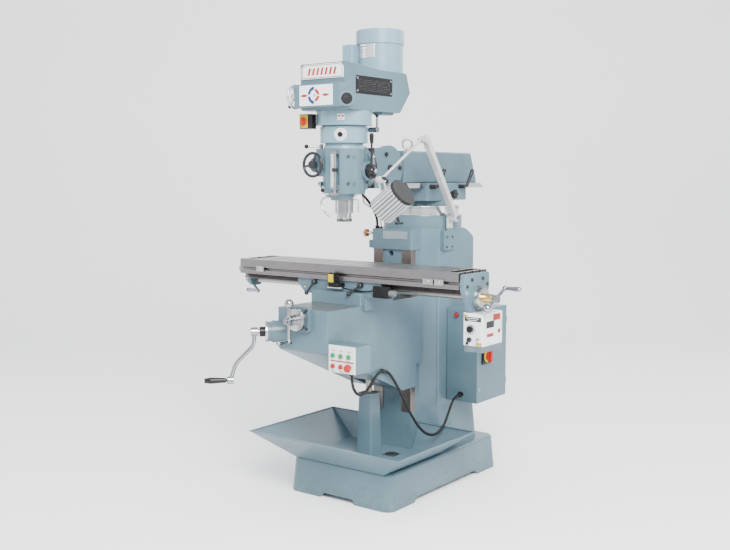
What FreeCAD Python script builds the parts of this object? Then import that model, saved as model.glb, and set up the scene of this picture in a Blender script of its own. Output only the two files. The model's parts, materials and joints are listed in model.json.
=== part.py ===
import FreeCAD, Part
import math
import os
from FreeCAD import Vector

# Floor-standing turret milling machine with a variable-speed head, in millimetres.
# Origin: centre of the base's underside on the floor. +X is the operator's right,
# -Y is the operator's side, +Z is up.

# ---------------------------------------------------------------- driving sizes
run = 0.05           # radial clearance of a shaft in its bore
gap = 0.3            # clearance between faces that slide past each other

# base and column
base_width = 620.0
base_depth = 1000.0
base_height = 175.0
base_draft = 12.0
base_corner = 48.0
base_edge = 14.0
anchor_spacing_x = 510.0
anchor_spacing_y = 890.0
anchor_radius = 9.0
anchor_depth = 40.0
foot_height = 24.0
foot_gap_front = 220.0
foot_gap_side = 590.0
foot_slope = 22.0
way_front_y = -50.0
way_half = 117.0
way_back_y = 47.0
way_bottom_z = 367.0
way_top_z = 1194.0
way_relief_half = 58.0
way_relief_depth = 4.0
head_block_half = 122.0
head_block_front_y = -58.0
head_block_top_z = 1296.0
column_half = 206.0
column_rear_y = 485.0
column_foot_half = 236.0
column_foot_rear_y = 474.0
column_foot_top_z = 385.0
column_shoulder_z = 1080.0
column_wall = 24.0
turret_y = 225.0
column_top_radius = 205.0
column_top_z = 1361.0

# chip tray
tray_half = 453.0
tray_front_y = -635.0
tray_rear_y = 27.0
tray_rim_z = 305.0
tray_floor_half = 272.0
tray_floor_front_y = -494.0
tray_floor_rear_y = -32.0
tray_sheet = 3.0
tray_hem = 9.0

# pedestal with the knee nut, and the knee screw
pedestal_y = -245.0
pedestal_foot = 96.0
pedestal_top = 76.0
pedestal_top_z = 492.0
pedestal_cap = 14.0
nut_length = 40.0
screw_radius = 17.0
screw_bottom_z = 400.0
screw_well_radius = 32.0

# knee
knee_half = 147.0
knee_front_y = -750.0
knee_top_z = 961.0
knee_nose_z = 767.0
knee_heel_z = 506.0
knee_heel_y = -168.0
knee_wall = 20.0
knee_wing_y = 12.0
knee_wing_z = 622.0
knee_hole = 126.0

# cross feed
cross_z = 918.0
flange_half = 56.0
flange_thick = 20.0
shaft_radius = 12.0
dial_radius = 50.0
dial_width = 26.0
hub_radius = 19.0
crank_ball_radius = 21.0
crank_reach = 92.0
crank_ball_reach = 78.0
grip_length = 95.0

# knee crank, on an axis that points out to the front left
crank_x = -140.0
crank_y = -738.0
crank_z = 846.0
crank_housing_radius = 51.0
crank_housing_end = 63.0
knee_arm_drop = 224.0
knee_arm_throw = 112.0
knee_grip_length = 118.0

# control box and its push-buttons
box_right_x = 300.0
box_front_y = -745.0
box_rear_y = -635.0
box_bottom_z = 692.0
box_top_z = 815.0
box_wall = 3.0
panel_thick = 2.0
button_radius = 11.0
button_proud = 9.0
button_depth = 22.0
button_columns = (177.0, 221.0, 266.0)
button_rows = (769.0, 721.0)
stop_radius = 18.0
stop_height = 12.0

# saddle
saddle_half = 250.0
saddle_lower_half = 150.0
saddle_front_y = -490.0
saddle_rear_y = -270.0
saddle_lower_front_y = -512.0
saddle_lower_rear_y = -250.0
saddle_wing_z = 1000.0
lever_x = 139.0
lever_z = 1056.0

# table
table_length = 1300.0
table_width = 240.0
table_x = 21.0
table_y = -380.0
table_top_z = 1146.0
slab_thick = 74.0
slide_depth = 26.0
slide_half_top = 76.0
slide_half_bottom = 90.0
tee_pitch = 63.5
tee_mouth = 16.0
tee_throat = 15.0
tee_foot = 28.0
tee_foot_depth = 12.0
trough_length = 46.0
trough_depth = 16.0
side_tee_z = 1099.0
side_tee_mouth = 14.0
side_tee_depth = 16.0
feed_z = 1030.0
feed_radius = 14.0
end_plate = 24.0

# power feed unit
feed_box_x0 = 657.0
feed_box_x1 = 760.0
feed_box_y0 = -439.0
feed_box_y1 = -261.0
feed_box_z0 = 795.0
feed_box_z1 = 966.0

# electrical cabinet
cabinet_x1 = 385.0
cabinet_y0 = 150.0
cabinet_y1 = 446.0
cabinet_z0 = 412.0
cabinet_z1 = 888.0
cabinet_sheet = 2.5
door_depth = 15.0
hinge_pin_radius = 4.0

# turret
ring_radius = 188.0
ring_top_z = 1410.0
neck_radius = 150.0
neck_top_z = 1456.0
cradle_half = 150.0
cradle_front_y = 45.0
cradle_rear_y = 425.0

# ram
ram_half = 100.0
ram_bottom_z = 1502.0
ram_waist_z = 1527.0
ram_top_z = 1688.0
ram_foot_half = 125.0
ram_rear_top_y = 543.0
ram_rear_y = 610.0
ram_front_y = -90.0
nod_y = -215.0
nod_z = 1600.0
tongue_half = 74.0
tongue_radius = 97.0
cheek_radius = 110.0
tilt_face_y = -345.0
tilt_radius = 112.0

# head
spindle_y = -443.0
quill_radius = 43.0
quill_bottom_z = 1388.0
quill_top_z = 1672.0
nose_bottom_z = 1348.0
nose_radius = 34.0
spindle_radius = 25.0
collet_radius = 12.1
collet_mouth_radius = 16.0
collet_depth = 105.0
housing_radius = 100.0
housing_bottom_z = 1480.0
housing_top_z = 1690.0
housing_front_y = -536.0
skirt_radius = 76.0
skirt_bottom_z = 1449.0
feed_case_radius = 112.0
feed_case_z0 = 1716.0
feed_case_z1 = 1790.0
gear_case_radius = 130.0
gear_case_z0 = 1797.0
gear_case_z1 = 1864.0
belt_half = 130.0
belt_front_y = -600.0
belt_bottom_z = 1864.0
belt_front_top_z = 2076.0
belt_top_z = 2056.0
belt_wall = 10.0
dial_box_half = 136.0
dial_box_front_y = -640.0
dial_box_z0 = 1873.0
dial_box_z1 = 1979.0
motor_y = -157.0
motor_radius = 112.0
motor_top_z = 2197.0
cowl_radius = 117.5
cowl_top_z = 2266.0
pinion_y = -395.0
pinion_z = 1586.0
hi_lo_offset = 71.0
hi_lo_radius = 12.0
hi_lo_x = math.sqrt(feed_case_radius ** 2 - (hi_lo_offset - hi_lo_radius) ** 2)
hi_lo_z = 1778.0
brake_x = -100.0
brake_y = -490.0
fine_x = -95.0
fine_z = 1615.0
fine_wheel_y = -560.0
fine_wheel_radius = 61.0
speed_wheel_radius = 57.0
speed_wheel_z = 1927.0
trip_x = -66.0
trip_z = 1526.0
trip_face_y = -527.0
stop_rod_x = 32.0
stop_rod_y = -552.0
stop_rod_radius = 7.0
nut_z = 1590.0

# work lamp
lamp_pivot = Vector(242, 159, 1353)
lamp_elbow = Vector(300, -200, 1734)
lamp_knuckle = Vector(311, -575, 1546)
lamp_centre = Vector(322, -508, 1444)
lamp_aim = Vector(-0.79, -0.03, -0.6)
lamp_radius = 68.0
lamp_length = 132.0
lamp_ribs = 24
lamp_rib = 5.0

# hoses
conduit_radius = 7.0
head_conduit_radius = 7.0
hose_radius = 3.5

X = Vector(1, 0, 0)
Y = Vector(0, 1, 0)
Z = Vector(0, 0, 1)
DIAGONAL = Vector(-1, -1, 0).normalize()


# ---------------------------------------------------------------- shape helpers
def block(x0, x1, y0, y1, z0, z1):
    return Part.makeBox(x1 - x0, y1 - y0, z1 - z0, Vector(x0, y0, z0))


def rod(start, direction, radius, length):
    return Part.makeCylinder(radius, length, start, direction)


def bar(start, end, radius):
    return rod(start, end - start, radius, (end - start).Length)


def ball(centre, radius, pole=Z):
    return Part.makeSphere(radius, centre, pole)


def cone(start, direction, radius0, radius1, length):
    return Part.makeCone(radius0, radius1, length, start, direction)


def rounded_wire(points, radius):
    """Closed outline through the points, each corner rounded by a tangent arc."""
    edges = []
    count = len(points)
    radii = radius if isinstance(radius, (list, tuple)) else [radius] * count
    starts = []
    ends = []
    for i, corner in enumerate(points):
        before = (points[i - 1] - corner).normalize()
        after = (points[(i + 1) % count] - corner).normalize()
        half_turn = (math.pi - before.getAngle(after)) / 2
        reach = radii[i] * math.tan(half_turn)
        starts.append(corner + before * reach)
        ends.append(corner + after * reach)
    for i, corner in enumerate(points):
        if radii[i] > 0:
            before = (points[i - 1] - corner).normalize()
            after = (points[(i + 1) % count] - corner).normalize()
            half_turn = (math.pi - before.getAngle(after)) / 2
            bisector = (before + after).normalize()
            middle = corner + bisector * (radii[i] / math.cos(half_turn) - radii[i])
            edges.append(Part.Arc(starts[i], middle, ends[i]).toShape())
        edges.append(Part.LineSegment(ends[i], starts[(i + 1) % count]).toShape())
    return Part.Wire(edges)


def prism(points, direction, radius=0.0):
    """Solid swept along the direction from a rounded outline."""
    return Part.Face(rounded_wire(points, radius)).extrude(direction)


def prism_x(outline, x0, x1, radius=0.0):
    return prism([Vector(x0, y, z) for y, z in outline], Vector(x1 - x0, 0, 0), radius)


def prism_y(outline, y0, y1, radius=0.0):
    return prism([Vector(x, y0, z) for x, z in outline], Vector(0, y1 - y0, 0), radius)


def prism_z(outline, z0, z1, radius=0.0):
    return prism([Vector(x, y, z0) for x, y in outline], Vector(0, 0, z1 - z0), radius)


def rectangle(x0, x1, y0, y1):
    return [(x0, y0), (x1, y0), (x1, y1), (x0, y1)]


def loft(sections, radius):
    """Straight-sided solid through outlines given as (z, points)."""
    wires = [rounded_wire([Vector(x, y, z) for x, y in points], radius) for z, points in sections]
    return Part.makeLoft(wires, True, True)


def fuse(*shapes):
    return shapes[0].fuse(list(shapes[1:])).removeSplitter()


def hex_head(centre, direction, across, height):
    """Hexagon screw head standing on a face."""
    side = Vector(0, 0, 1) if abs(direction.z) < 0.5 else Vector(1, 0, 0)
    other = direction.cross(side).normalize()
    corner = across / math.sqrt(3)
    points = []
    for i in range(6):
        angle = math.radians(60 * i)
        points.append(centre + side * (corner * math.cos(angle)) + other * (corner * math.sin(angle)))
    return prism(points, direction * height)


def cap_screw(centre, direction, radius, height):
    """Socket screw head with its hexagon socket."""
    head = rod(centre, direction, radius, height)
    socket = hex_head(centre + direction * (height * 0.4), direction, radius, height)
    return head.cut(socket)


def tube_path(points, ends_share=0.45):
    """Straight runs joined by tangent arcs, each as large as its two runs allow."""
    edges = []
    radii = []
    last = points[0]
    for i in range(1, len(points) - 1):
        corner = points[i]
        back = points[i - 1] - corner
        ahead = points[i + 1] - corner
        turn = math.pi - back.getAngle(ahead)
        radius = ends_share * min(back.Length, ahead.Length) / math.tan(turn / 2)
        radii.append(radius)
        reach = radius * math.tan(turn / 2)
        u = back.normalize()
        v = ahead.normalize()
        start = corner + u * reach
        end = corner + v * reach
        middle = corner + (u + v).normalize() * (radius / math.cos(turn / 2) - radius)
        edges.append(Part.LineSegment(last, start).toShape())
        edges.append(Part.Arc(start, middle, end).toShape())
        last = end
    edges.append(Part.LineSegment(last, points[-1]).toShape())
    return Part.Wire(edges), radii


def tube(name, points, radius):
    """Round tube along the route; prints its tightest arc and checks its volume."""
    path, radii = tube_path(points)
    heading = points[1] - points[0]
    section = Part.Wire(Part.Circle(points[0], heading, radius).toShape())
    solid = Part.Wire(path).makePipeShell([section], True, False)
    expected = math.pi * radius * radius * path.Length
    print(name, "arc radii", [round(r) for r in radii], "length", round(path.Length),
          "volume ratio", round(solid.Volume / expected, 4))
    return solid


def ball_crank(hub, axis, ball_dir, grip_dir, grip_angle_dir, hub_length):
    """Balanced crank: hub, ball at one end, folding-style grip at the other."""
    middle = hub + axis * (hub_length / 2)
    ball_centre = middle + ball_dir * crank_ball_reach
    grip_root = middle + grip_dir * crank_reach
    body = fuse(rod(hub, axis, hub_radius, hub_length),
                bar(middle, ball_centre, 7.5),
                ball(ball_centre, crank_ball_radius),
                bar(middle, grip_root, 7.5),
                ball(grip_root, 12.0),
                cone(grip_root, grip_angle_dir, 7.0, 11.5, grip_length * 0.72),
                ball(grip_root + grip_angle_dir * (grip_length * 0.72), 11.5))
    return body


# ---------------------------------------------------------------- base and column
def column_outline(half, rear_y):
    """Plan of the column: narrow at the ways, full width behind, chamfered at the back."""
    return [(-way_half, way_back_y - 20), (way_half, way_back_y - 20),
            (150, 58), (half - 17, 94), (half, 172), (half, rear_y - 82), (half - 56, rear_y),
            (-half + 56, rear_y), (-half, rear_y - 82), (-half, 172), (-half + 17, 94), (-150, 58)]


def column_rounding():
    return [0, 0, 12, 30, 60, 45, 45, 45, 45, 60, 30, 12]


def make_column_casting():
    half_x = base_width / 2
    half_y = base_depth / 2
    inset = base_draft
    foot = loft([(0, rectangle(-half_x, half_x, -half_y, half_y)),
                 (base_height, rectangle(-half_x + inset, half_x - inset,
                                         -half_y + inset, half_y - inset))], base_corner)
    top_edges = [e for e in foot.Edges
                 if all(abs(v.Point.z - base_height) < 0.01 for v in e.Vertexes)]
    foot = foot.makeFillet(base_edge, top_edges)
    a = foot_gap_front / 2
    b = foot_gap_side / 2
    front_arch = [(-a, -1), (a, -1), (a - foot_slope, foot_height), (-a + foot_slope, foot_height)]
    side_arch = [(-b, -1), (b, -1), (b - foot_slope, foot_height), (-b + foot_slope, foot_height)]
    foot = foot.cut(prism_y(front_arch, -half_y - 1, half_y + 1))
    foot = foot.cut(prism_x(side_arch, -half_x - 1, half_x + 1))

    rounding = column_rounding()
    flare = loft([(base_height, column_outline(column_foot_half, column_foot_rear_y)),
                  (column_foot_top_z, column_outline(column_half, column_rear_y))], rounding)
    shaft = prism([Vector(x, y, column_foot_top_z) for x, y in column_outline(column_half, column_rear_y)],
                  Vector(0, 0, head_block_top_z - column_foot_top_z), rounding)
    back = [Vector(0, column_rear_y + 1, column_foot_top_z - 1),
            Vector(0, column_rear_y + 1, column_shoulder_z),
            Vector(0, 420, 1222), Vector(0, 300, head_block_top_z + 1),
            Vector(0, way_back_y - 60, head_block_top_z + 1),
            Vector(0, way_back_y - 60, column_foot_top_z - 1)]
    curve = Part.Arc(back[1], back[2], back[3]).toShape()
    lines = [Part.LineSegment(back[0], back[1]).toShape(), curve]
    for start, end in ((3, 4), (4, 5), (5, 0)):
        lines.append(Part.LineSegment(back[start], back[end]).toShape())
    side_view = Part.Face(Part.Wire(lines))
    side_view.translate(Vector(-column_half - 50, 0, 0))
    shaft = shaft.common(side_view.extrude(Vector(2 * column_half + 100, 0, 0)))

    ways = block(-way_half, way_half, way_front_y, way_back_y, way_bottom_z, way_top_z)
    apron = block(-way_half, way_half, way_front_y + way_relief_depth, way_back_y,
                  base_height, way_bottom_z)
    relief = block(-way_relief_half, way_relief_half, way_front_y - 1,
                   way_front_y + way_relief_depth, way_bottom_z - 1, way_top_z + 1)
    head_block = prism_z(rectangle(-head_block_half, head_block_half, head_block_front_y, way_back_y + 8),
                         way_top_z, head_block_top_z, [8, 8, 0, 0])
    round_top = rod(Vector(0, turret_y, head_block_top_z - 40), Z, column_top_radius,
                    column_top_z - head_block_top_z + 40)
    body = fuse(foot, flare, shaft, apron, ways.cut(relief), head_block, round_top)

    oil_hole = rod(Vector(-10, way_front_y - 1, 1172), Y, 15, 30)
    body = body.cut(oil_hole)
    for x in (-anchor_spacing_x / 2, anchor_spacing_x / 2):
        for y in (-anchor_spacing_y / 2, anchor_spacing_y / 2):
            body = body.cut(rod(Vector(x, y, -1), Z, anchor_radius, anchor_depth + 1))
    sump = block(-half_x + 60, half_x - 60, -half_y + 60, half_y - 60, base_height - 130, base_height - 25)
    hollow = block(-column_half + column_wall, column_half - column_wall,
                   way_back_y + 40, column_rear_y - 85, base_height - 40, column_shoulder_z - 30)
    well = rod(Vector(0, pedestal_y, base_height - 60), Z, screw_well_radius, 61)
    turret_bore = rod(Vector(0, turret_y, column_shoulder_z + 60), Z, 60, 400)
    cavity = fuse(sump, hollow)
    return body.cut(cavity).cut(well).cut(turret_bore)


def make_screw_pedestal():
    post = loft([(base_height, rectangle(-pedestal_foot / 2, pedestal_foot / 2,
                                         pedestal_y - pedestal_foot / 2, pedestal_y + pedestal_foot / 2)),
                 (pedestal_top_z - pedestal_cap,
                  rectangle(-pedestal_top / 2, pedestal_top / 2,
                            pedestal_y - pedestal_top / 2, pedestal_y + pedestal_top / 2))], 7.0)
    cap_half = pedestal_top / 2 + 5
    cap = prism_z(rectangle(-cap_half, cap_half, pedestal_y - cap_half, pedestal_y + cap_half),
                  pedestal_top_z - pedestal_cap, pedestal_top_z, 14.0)
    bore = rod(Vector(0, pedestal_y, base_height - 1), Z, screw_radius + run, pedestal_top_z)
    well = rod(Vector(0, pedestal_y, base_height - 1), Z, screw_well_radius,
               pedestal_top_z - nut_length - base_height + 1)
    return fuse(post, cap).cut(bore).cut(well)


def tray_shell(offset):
    """The pan's outer surface, or its inner surface when offset by the sheet."""
    floor = rectangle(-tray_floor_half + offset, tray_floor_half - offset,
                      tray_floor_front_y + offset, tray_floor_rear_y - offset)
    rim = rectangle(-tray_half + offset, tray_half - offset, tray_front_y + offset, tray_rear_y - offset)
    return loft([(base_height + offset, floor), (tray_rim_z + offset * 0.01, rim)], 0.0)


def make_chip_tray():
    pan = tray_shell(0.0).cut(tray_shell(tray_sheet))
    outer = block(-tray_half, tray_half, tray_front_y, tray_rear_y, tray_rim_z - tray_sheet, tray_rim_z + 1)
    inner = block(-tray_half + tray_hem, tray_half - tray_hem, tray_front_y + tray_hem,
                  tray_rear_y - tray_hem, tray_rim_z - tray_sheet - 1, tray_rim_z + 2)
    tray = fuse(pan, outer.cut(inner))
    notch = block(-way_half - 1, way_half + 1, way_front_y - 1, tray_rear_y + 1, base_height - 1, tray_rim_z + 3)
    foot = pedestal_foot / 2 + 1
    hole = block(-foot, foot, pedestal_y - foot, pedestal_y + foot, base_height - 1, base_height + 10)
    tray = tray.cut(notch).cut(hole)
    grate_at = Vector(95, -185, base_height + tray_sheet)
    grate = rod(grate_at, Z, 34, 3)
    for i in range(-2, 3):
        grate = grate.cut(block(grate_at.x - 24, grate_at.x + 24, grate_at.y + i * 11 - 2.5,
                                grate_at.y + i * 11 + 2.5, grate_at.z - 1, grate_at.z + 4))
    return [tray, grate]


def make_column_fittings():
    """Plate and rivets, side stub, hose glands and the rear access cover."""
    plate_y = head_block_front_y
    plate = prism_y([(-52, 1246), (98, 1246), (98, 1286), (-52, 1286)], plate_y - 1.5, plate_y, 3.0)
    pieces = [plate]
    for x in (-44, 90):
        pieces.append(rod(Vector(x, plate_y - 1.5, 1266), -Y, 3, 1.5))
    side_x = -head_block_half
    pieces.append(block(side_x - 26, side_x, -48, -8, 1196, 1236))
    top = head_block_top_z
    pieces.append(rod(Vector(-104, -36, top), Z, 12, 14).cut(
        rod(Vector(-104, -36, top - 1), Z, head_conduit_radius + gap, 20)))
    pieces.append(rod(Vector(-76, -40, top), Z, 7, 10).cut(
        rod(Vector(-76, -40, top - 1), Z, hose_radius + gap, 20)))
    pieces.append(rod(Vector(293, cabinet_y0, 451), -Y, 13, 16).cut(
        rod(Vector(293, cabinet_y0 + 1, 451), -Y, conduit_radius + gap, 20)))
    cover_y = column_rear_y
    cover = prism_y([(-95, 640), (95, 640), (95, 960), (-95, 960)], cover_y, cover_y + 6, 14.0)
    pieces.append(cover)
    for x in (-80, 80):
        for z in (655, 945):
            pieces.append(cap_screw(Vector(x, cover_y + 6, z), Y, 7, 6))
    return pieces


def make_valve_knob():
    """Star knob of the coolant valve on its stem, left of the column."""
    centre = Vector(-168, -72 + 18, 1272)
    knob = rod(centre, X, 15, 14)
    for i in range(6):
        angle = math.radians(60 * i)
        lobe = centre + Vector(0, 14 * math.cos(angle), 14 * math.sin(angle))
        knob = knob.fuse(rod(lobe, X, 7, 14))
    stem = rod(centre + X * 14, X, 5, -head_block_half - gap - centre.x - 14)
    collar = rod(centre + X * 26, X, 9, 12)
    return fuse(knob.removeSplitter(), stem, collar)


# ---------------------------------------------------------------- electrical cabinet
def make_cabinet_body():
    x0 = column_half
    x1 = cabinet_x1 - door_depth - gap
    s = cabinet_sheet
    shell = prism_z(rectangle(x0, x1, cabinet_y0, cabinet_y1), cabinet_z0, cabinet_z1, 0.0)
    inside = block(x0 + s, x1 + 1, cabinet_y0 + s, cabinet_y1 - s, cabinet_z0 + s, cabinet_z1 - s)
    shell = shell.cut(inside)
    lip = block(x1 - s, x1, cabinet_y0, cabinet_y0 + 14, cabinet_z0, cabinet_z1)
    shell = fuse(shell, lip)
    pin_x = cabinet_x1 - door_depth / 2
    pin_y = cabinet_y1 + hinge_pin_radius + 3
    pieces = []
    for z in (cabinet_z0 + 60, cabinet_z1 - 90):
        leaf = block(x1 - 20, pin_x - 4.5, cabinet_y1, cabinet_y1 + 3, z, z + 14)
        pin = rod(Vector(pin_x, pin_y, z), Z, hinge_pin_radius, 30)
        eye = fuse(leaf, block(pin_x - 9, pin_x, cabinet_y1, pin_y, z, z + 14),
                   rod(Vector(pin_x, pin_y, z), Z, hinge_pin_radius + 2.5, 14))
        shell = fuse(shell, eye, pin)
    mount = block(x0 + s, x0 + s + 3, cabinet_y0 + 20, cabinet_y1 - 20, cabinet_z0 + 20, cabinet_z1 - 20)
    pieces.append(shell)
    pieces.append(mount)
    rail = x0 + s + 3
    for i in range(4):
        y = cabinet_y0 + 40 + i * 54
        pieces.append(block(rail, rail + 62, y, y + 45, cabinet_z1 - 150, cabinet_z1 - 70))
    pieces.append(block(rail, rail + 74, cabinet_y0 + 60, cabinet_y0 + 150, cabinet_z0 + 60, cabinet_z0 + 150))
    pieces.append(block(rail, rail + 34, cabinet_y0 + 40, cabinet_y1 - 50, cabinet_z0 + 210, cabinet_z0 + 250))
    pilot = Vector(264, cabinet_y0, 858)
    pieces.append(fuse(rod(pilot, -Y, 13, 5), rod(pilot + Vector(0, -5, 0), -Y, 10, 9)))
    return pieces


def make_cabinet_door():
    x0 = cabinet_x1 - door_depth
    s = cabinet_sheet
    pan = prism_z(rectangle(x0, cabinet_x1, cabinet_y0, cabinet_y1), cabinet_z0, cabinet_z1, 0.0)
    pan = pan.cut(block(x0 - 1, cabinet_x1 - s, cabinet_y0 + s, cabinet_y1 - s, cabinet_z0 + s, cabinet_z1 - s))
    pin_x = cabinet_x1 - door_depth / 2
    pin_y = cabinet_y1 + hinge_pin_radius + 3
    for z in (cabinet_z0 + 60, cabinet_z1 - 90):
        z0 = z + 14 + gap
        knuckle = fuse(rod(Vector(pin_x, pin_y, z0), Z, hinge_pin_radius + 2.5, 15),
                       block(pin_x - 5, pin_x + 6.5, cabinet_y1 - 1, pin_y, z0, z0 + 15))
        pan = fuse(pan, knuckle)
        pan = pan.cut(rod(Vector(pin_x, pin_y, z0 - 1), Z, hinge_pin_radius + run, 18))
    switch = Vector(cabinet_x1, 238, 646)
    base = block(cabinet_x1, cabinet_x1 + 9, 238 - 46, 238 + 40, 646 - 38, 646 + 38)
    plate = rod(switch + X * 9, X, 32, 3).cut(rod(switch + X * 8, X, 9 + run, 6))
    base = base.cut(rod(switch + X * 2, X, 9 + run, 10))
    lock_y = cabinet_y0 + 22
    locks = [rod(Vector(cabinet_x1, lock_y, z), X, 9, 3) for z in (cabinet_z0 + 70, cabinet_z1 - 70)]
    return [pan, base, plate] + locks


def make_main_switch_knob():
    switch = Vector(cabinet_x1, 238, 646)
    shaft = rod(switch + X * 3, X, 9, 12)
    disc = rod(switch + X * (12 + gap), X, 21, 8)
    grip = block(switch.x + 19, switch.x + 36, 238 - 8, 238 + 8, 646 - 27, 646 + 27)
    return fuse(shaft, disc, grip)


# ---------------------------------------------------------------- work lamp
def make_lamp_bracket(column):
    pad = block(column_half - 30, column_half + 8, 104, 200, 1188, 1286).cut(column)
    pad = max(pad.Solids, key=lambda s: s.Volume) if pad.Solids else pad
    p = lamp_pivot
    post = block(column_half, column_half + 8, 132, 184, 1280, p.z)
    lug = fuse(rod(Vector(column_half, p.y, p.z), X, 22, p.x - 14 - column_half),
               rod(Vector(p.x - 14, p.y, p.z), X, 7, 30),
               rod(Vector(p.x + 14, p.y, p.z), X, 11, 6))
    bracket = fuse(pad, post, lug)
    screws = [cap_screw(Vector(column_half + 8, y, z), X, 5.5, 4) for y in (126, 178) for z in (1204, 1254)]
    return [bracket] + screws


def square_arm(start, end, width):
    """Square bar between two points, its side facing +X."""
    along = (end - start).normalize()
    side = X.sub(along * X.dot(along)).normalize()
    up = along.cross(side)
    h = width / 2
    corners = [start + side * h + up * h, start + side * h - up * h,
               start - side * h - up * h, start - side * h + up * h]
    return prism(corners, end - start)


def make_lamp_lower_arm():
    p = lamp_pivot
    e = lamp_elbow
    hub0 = rod(Vector(p.x - 13.5, p.y, p.z), X, 20, 27)
    hub1 = rod(Vector(e.x - 11, e.y, e.z), X, 20, 22)
    arm = square_arm(p, e, 27.0)
    pin = rod(Vector(e.x - 42, e.y, e.z), X, 6, 38)
    head = rod(Vector(e.x - 43, e.y, e.z), X, 9, 6)
    body = fuse(hub0, hub1, arm)
    body = body.cut(rod(Vector(p.x - 40, p.y, p.z), X, 7 + run, 80))
    clear = block(p.x - 60, p.x - 13.5, p.y - 60, p.y + 60, p.z - 60, p.z + 60)
    clear = fuse(clear, block(p.x + 13.5, p.x + 60, p.y - 30, p.y + 30, p.z - 30, p.z + 30))
    return fuse(body.cut(clear), pin, head)


def make_lamp_upper_rod():
    e = Vector(lamp_elbow.x - 26, lamp_elbow.y, lamp_elbow.z)
    k = lamp_knuckle
    hub = rod(Vector(e.x - 10.4, e.y, e.z), X, 16, 20)
    hub2 = rod(Vector(k.x - 9, k.y, k.z), X, 16, 18)
    body = fuse(hub, hub2, bar(e, k, 6.0))
    body = body.cut(rod(Vector(e.x - 30, e.y, e.z), X, 6 + run, 60))
    return body.cut(rod(Vector(k.x - 30, k.y, k.z), X, 5 + run, 60))


def make_lamp_head():
    aim = Vector(lamp_aim).normalize()
    k = lamp_knuckle
    back = lamp_centre - aim * (lamp_length / 2)
    side = aim.cross(Y).normalize()
    other = aim.cross(side).normalize()
    outline = []
    for i in range(lamp_ribs):
        for share, depth in ((0.0, lamp_rib), (0.22, 0), (0.50, 0), (0.72, lamp_rib)):
            angle = 2 * math.pi * (i + share) / lamp_ribs
            edge = side * math.cos(angle) + other * math.sin(angle)
            outline.append(back + edge * (lamp_radius - depth))
    barrel = prism(outline, aim * lamp_length)
    barrel = barrel.cut(rod(back + aim * 30, aim, lamp_radius - 10, lamp_length))
    fork = fuse(rod(Vector(k.x - 20, k.y, k.z), X, 14, 10.5), rod(Vector(k.x + 9.5, k.y, k.z), X, 14, 10.5),
                rod(Vector(k.x - 21, k.y, k.z), X, 5, 42))
    neck_end = Vector(k.x, lamp_centre.y - 42, lamp_centre.z + 48)
    necks = fuse(bar(Vector(k.x - 15, k.y, k.z), neck_end + Vector(-15, 0, 0), 4.2),
                 bar(Vector(k.x + 15, k.y, k.z), neck_end + Vector(15, 0, 0), 4.2))
    body = fuse(barrel, necks.cut(rod(back - aim, aim, lamp_radius - 7, lamp_length + 2)), fork)
    cap = rod(back, -aim, lamp_radius - 2, 16)
    lens = rod(back + aim * (lamp_length - 12), aim, lamp_radius - 10 - run, 5)
    grip_root = lamp_centre + Vector(24, 8, -62)
    grip = fuse(bar(grip_root, grip_root + Vector(10, 4, -30), 6),
                bar(grip_root + Vector(10, -22, -30), grip_root + Vector(10, 30, -30), 6))
    grip = grip.cut(barrel)
    return [body, cap, lens, max(grip.Solids, key=lambda s: s.Volume)]


# ---------------------------------------------------------------- knee
def knee_profile(wall):
    """Side view of the knee, or of its hollow when a wall is given."""
    drop = (knee_nose_z - knee_heel_z) / (knee_heel_y - knee_front_y)
    rise = wall * math.sqrt(1 + drop * drop)
    front = knee_front_y + wall
    rear = way_front_y - gap - wall
    nose = knee_nose_z - drop * wall + rise if wall else knee_nose_z
    return [(front, knee_top_z - wall), (front, nose), (knee_heel_y, knee_heel_z + (rise if wall else 0)),
            (rear, knee_heel_z + (rise if wall else 0)), (rear, knee_top_z - wall)]


def make_knee_casting():
    body = prism_x(knee_profile(0), -knee_half, knee_half, [4, 26, 60, 0, 0])
    hollow = prism_x(knee_profile(knee_wall), -knee_half + knee_wall, knee_half - knee_wall)
    h = knee_hole / 2
    hole = block(-h, h, pedestal_y - h, pedestal_y + h, knee_heel_z - 10, knee_nose_z)
    rear = way_front_y - gap
    wings = []
    for side in (-1, 1):
        inner = side * (way_half + gap)
        outer = side * knee_half
        wings.append(block(min(inner, outer), max(inner, outer), rear - 1, knee_wing_y, knee_wing_z, knee_top_z))
    body = fuse(body.cut(hollow).cut(hole), wings[0], wings[1])
    rib = fuse(block(-60, 60, -330, -160, knee_top_z - 120, knee_top_z - knee_wall + 1))
    rib = rib.cut(rod(Vector(0, pedestal_y, knee_top_z - 125), Z, screw_radius + run, 90))
    return fuse(body, rib).cut(rod(Vector(0, pedestal_y, knee_top_z - 36), Z, screw_radius - 5, 20))


def make_knee_screw():
    top = knee_top_z - 42
    thread = rod(Vector(0, pedestal_y, screw_bottom_z), Z, screw_radius, top - screw_bottom_z)
    gear = cone(Vector(0, pedestal_y, top - 120), Z, 44, 30, 26)
    return fuse(thread, gear)


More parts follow.
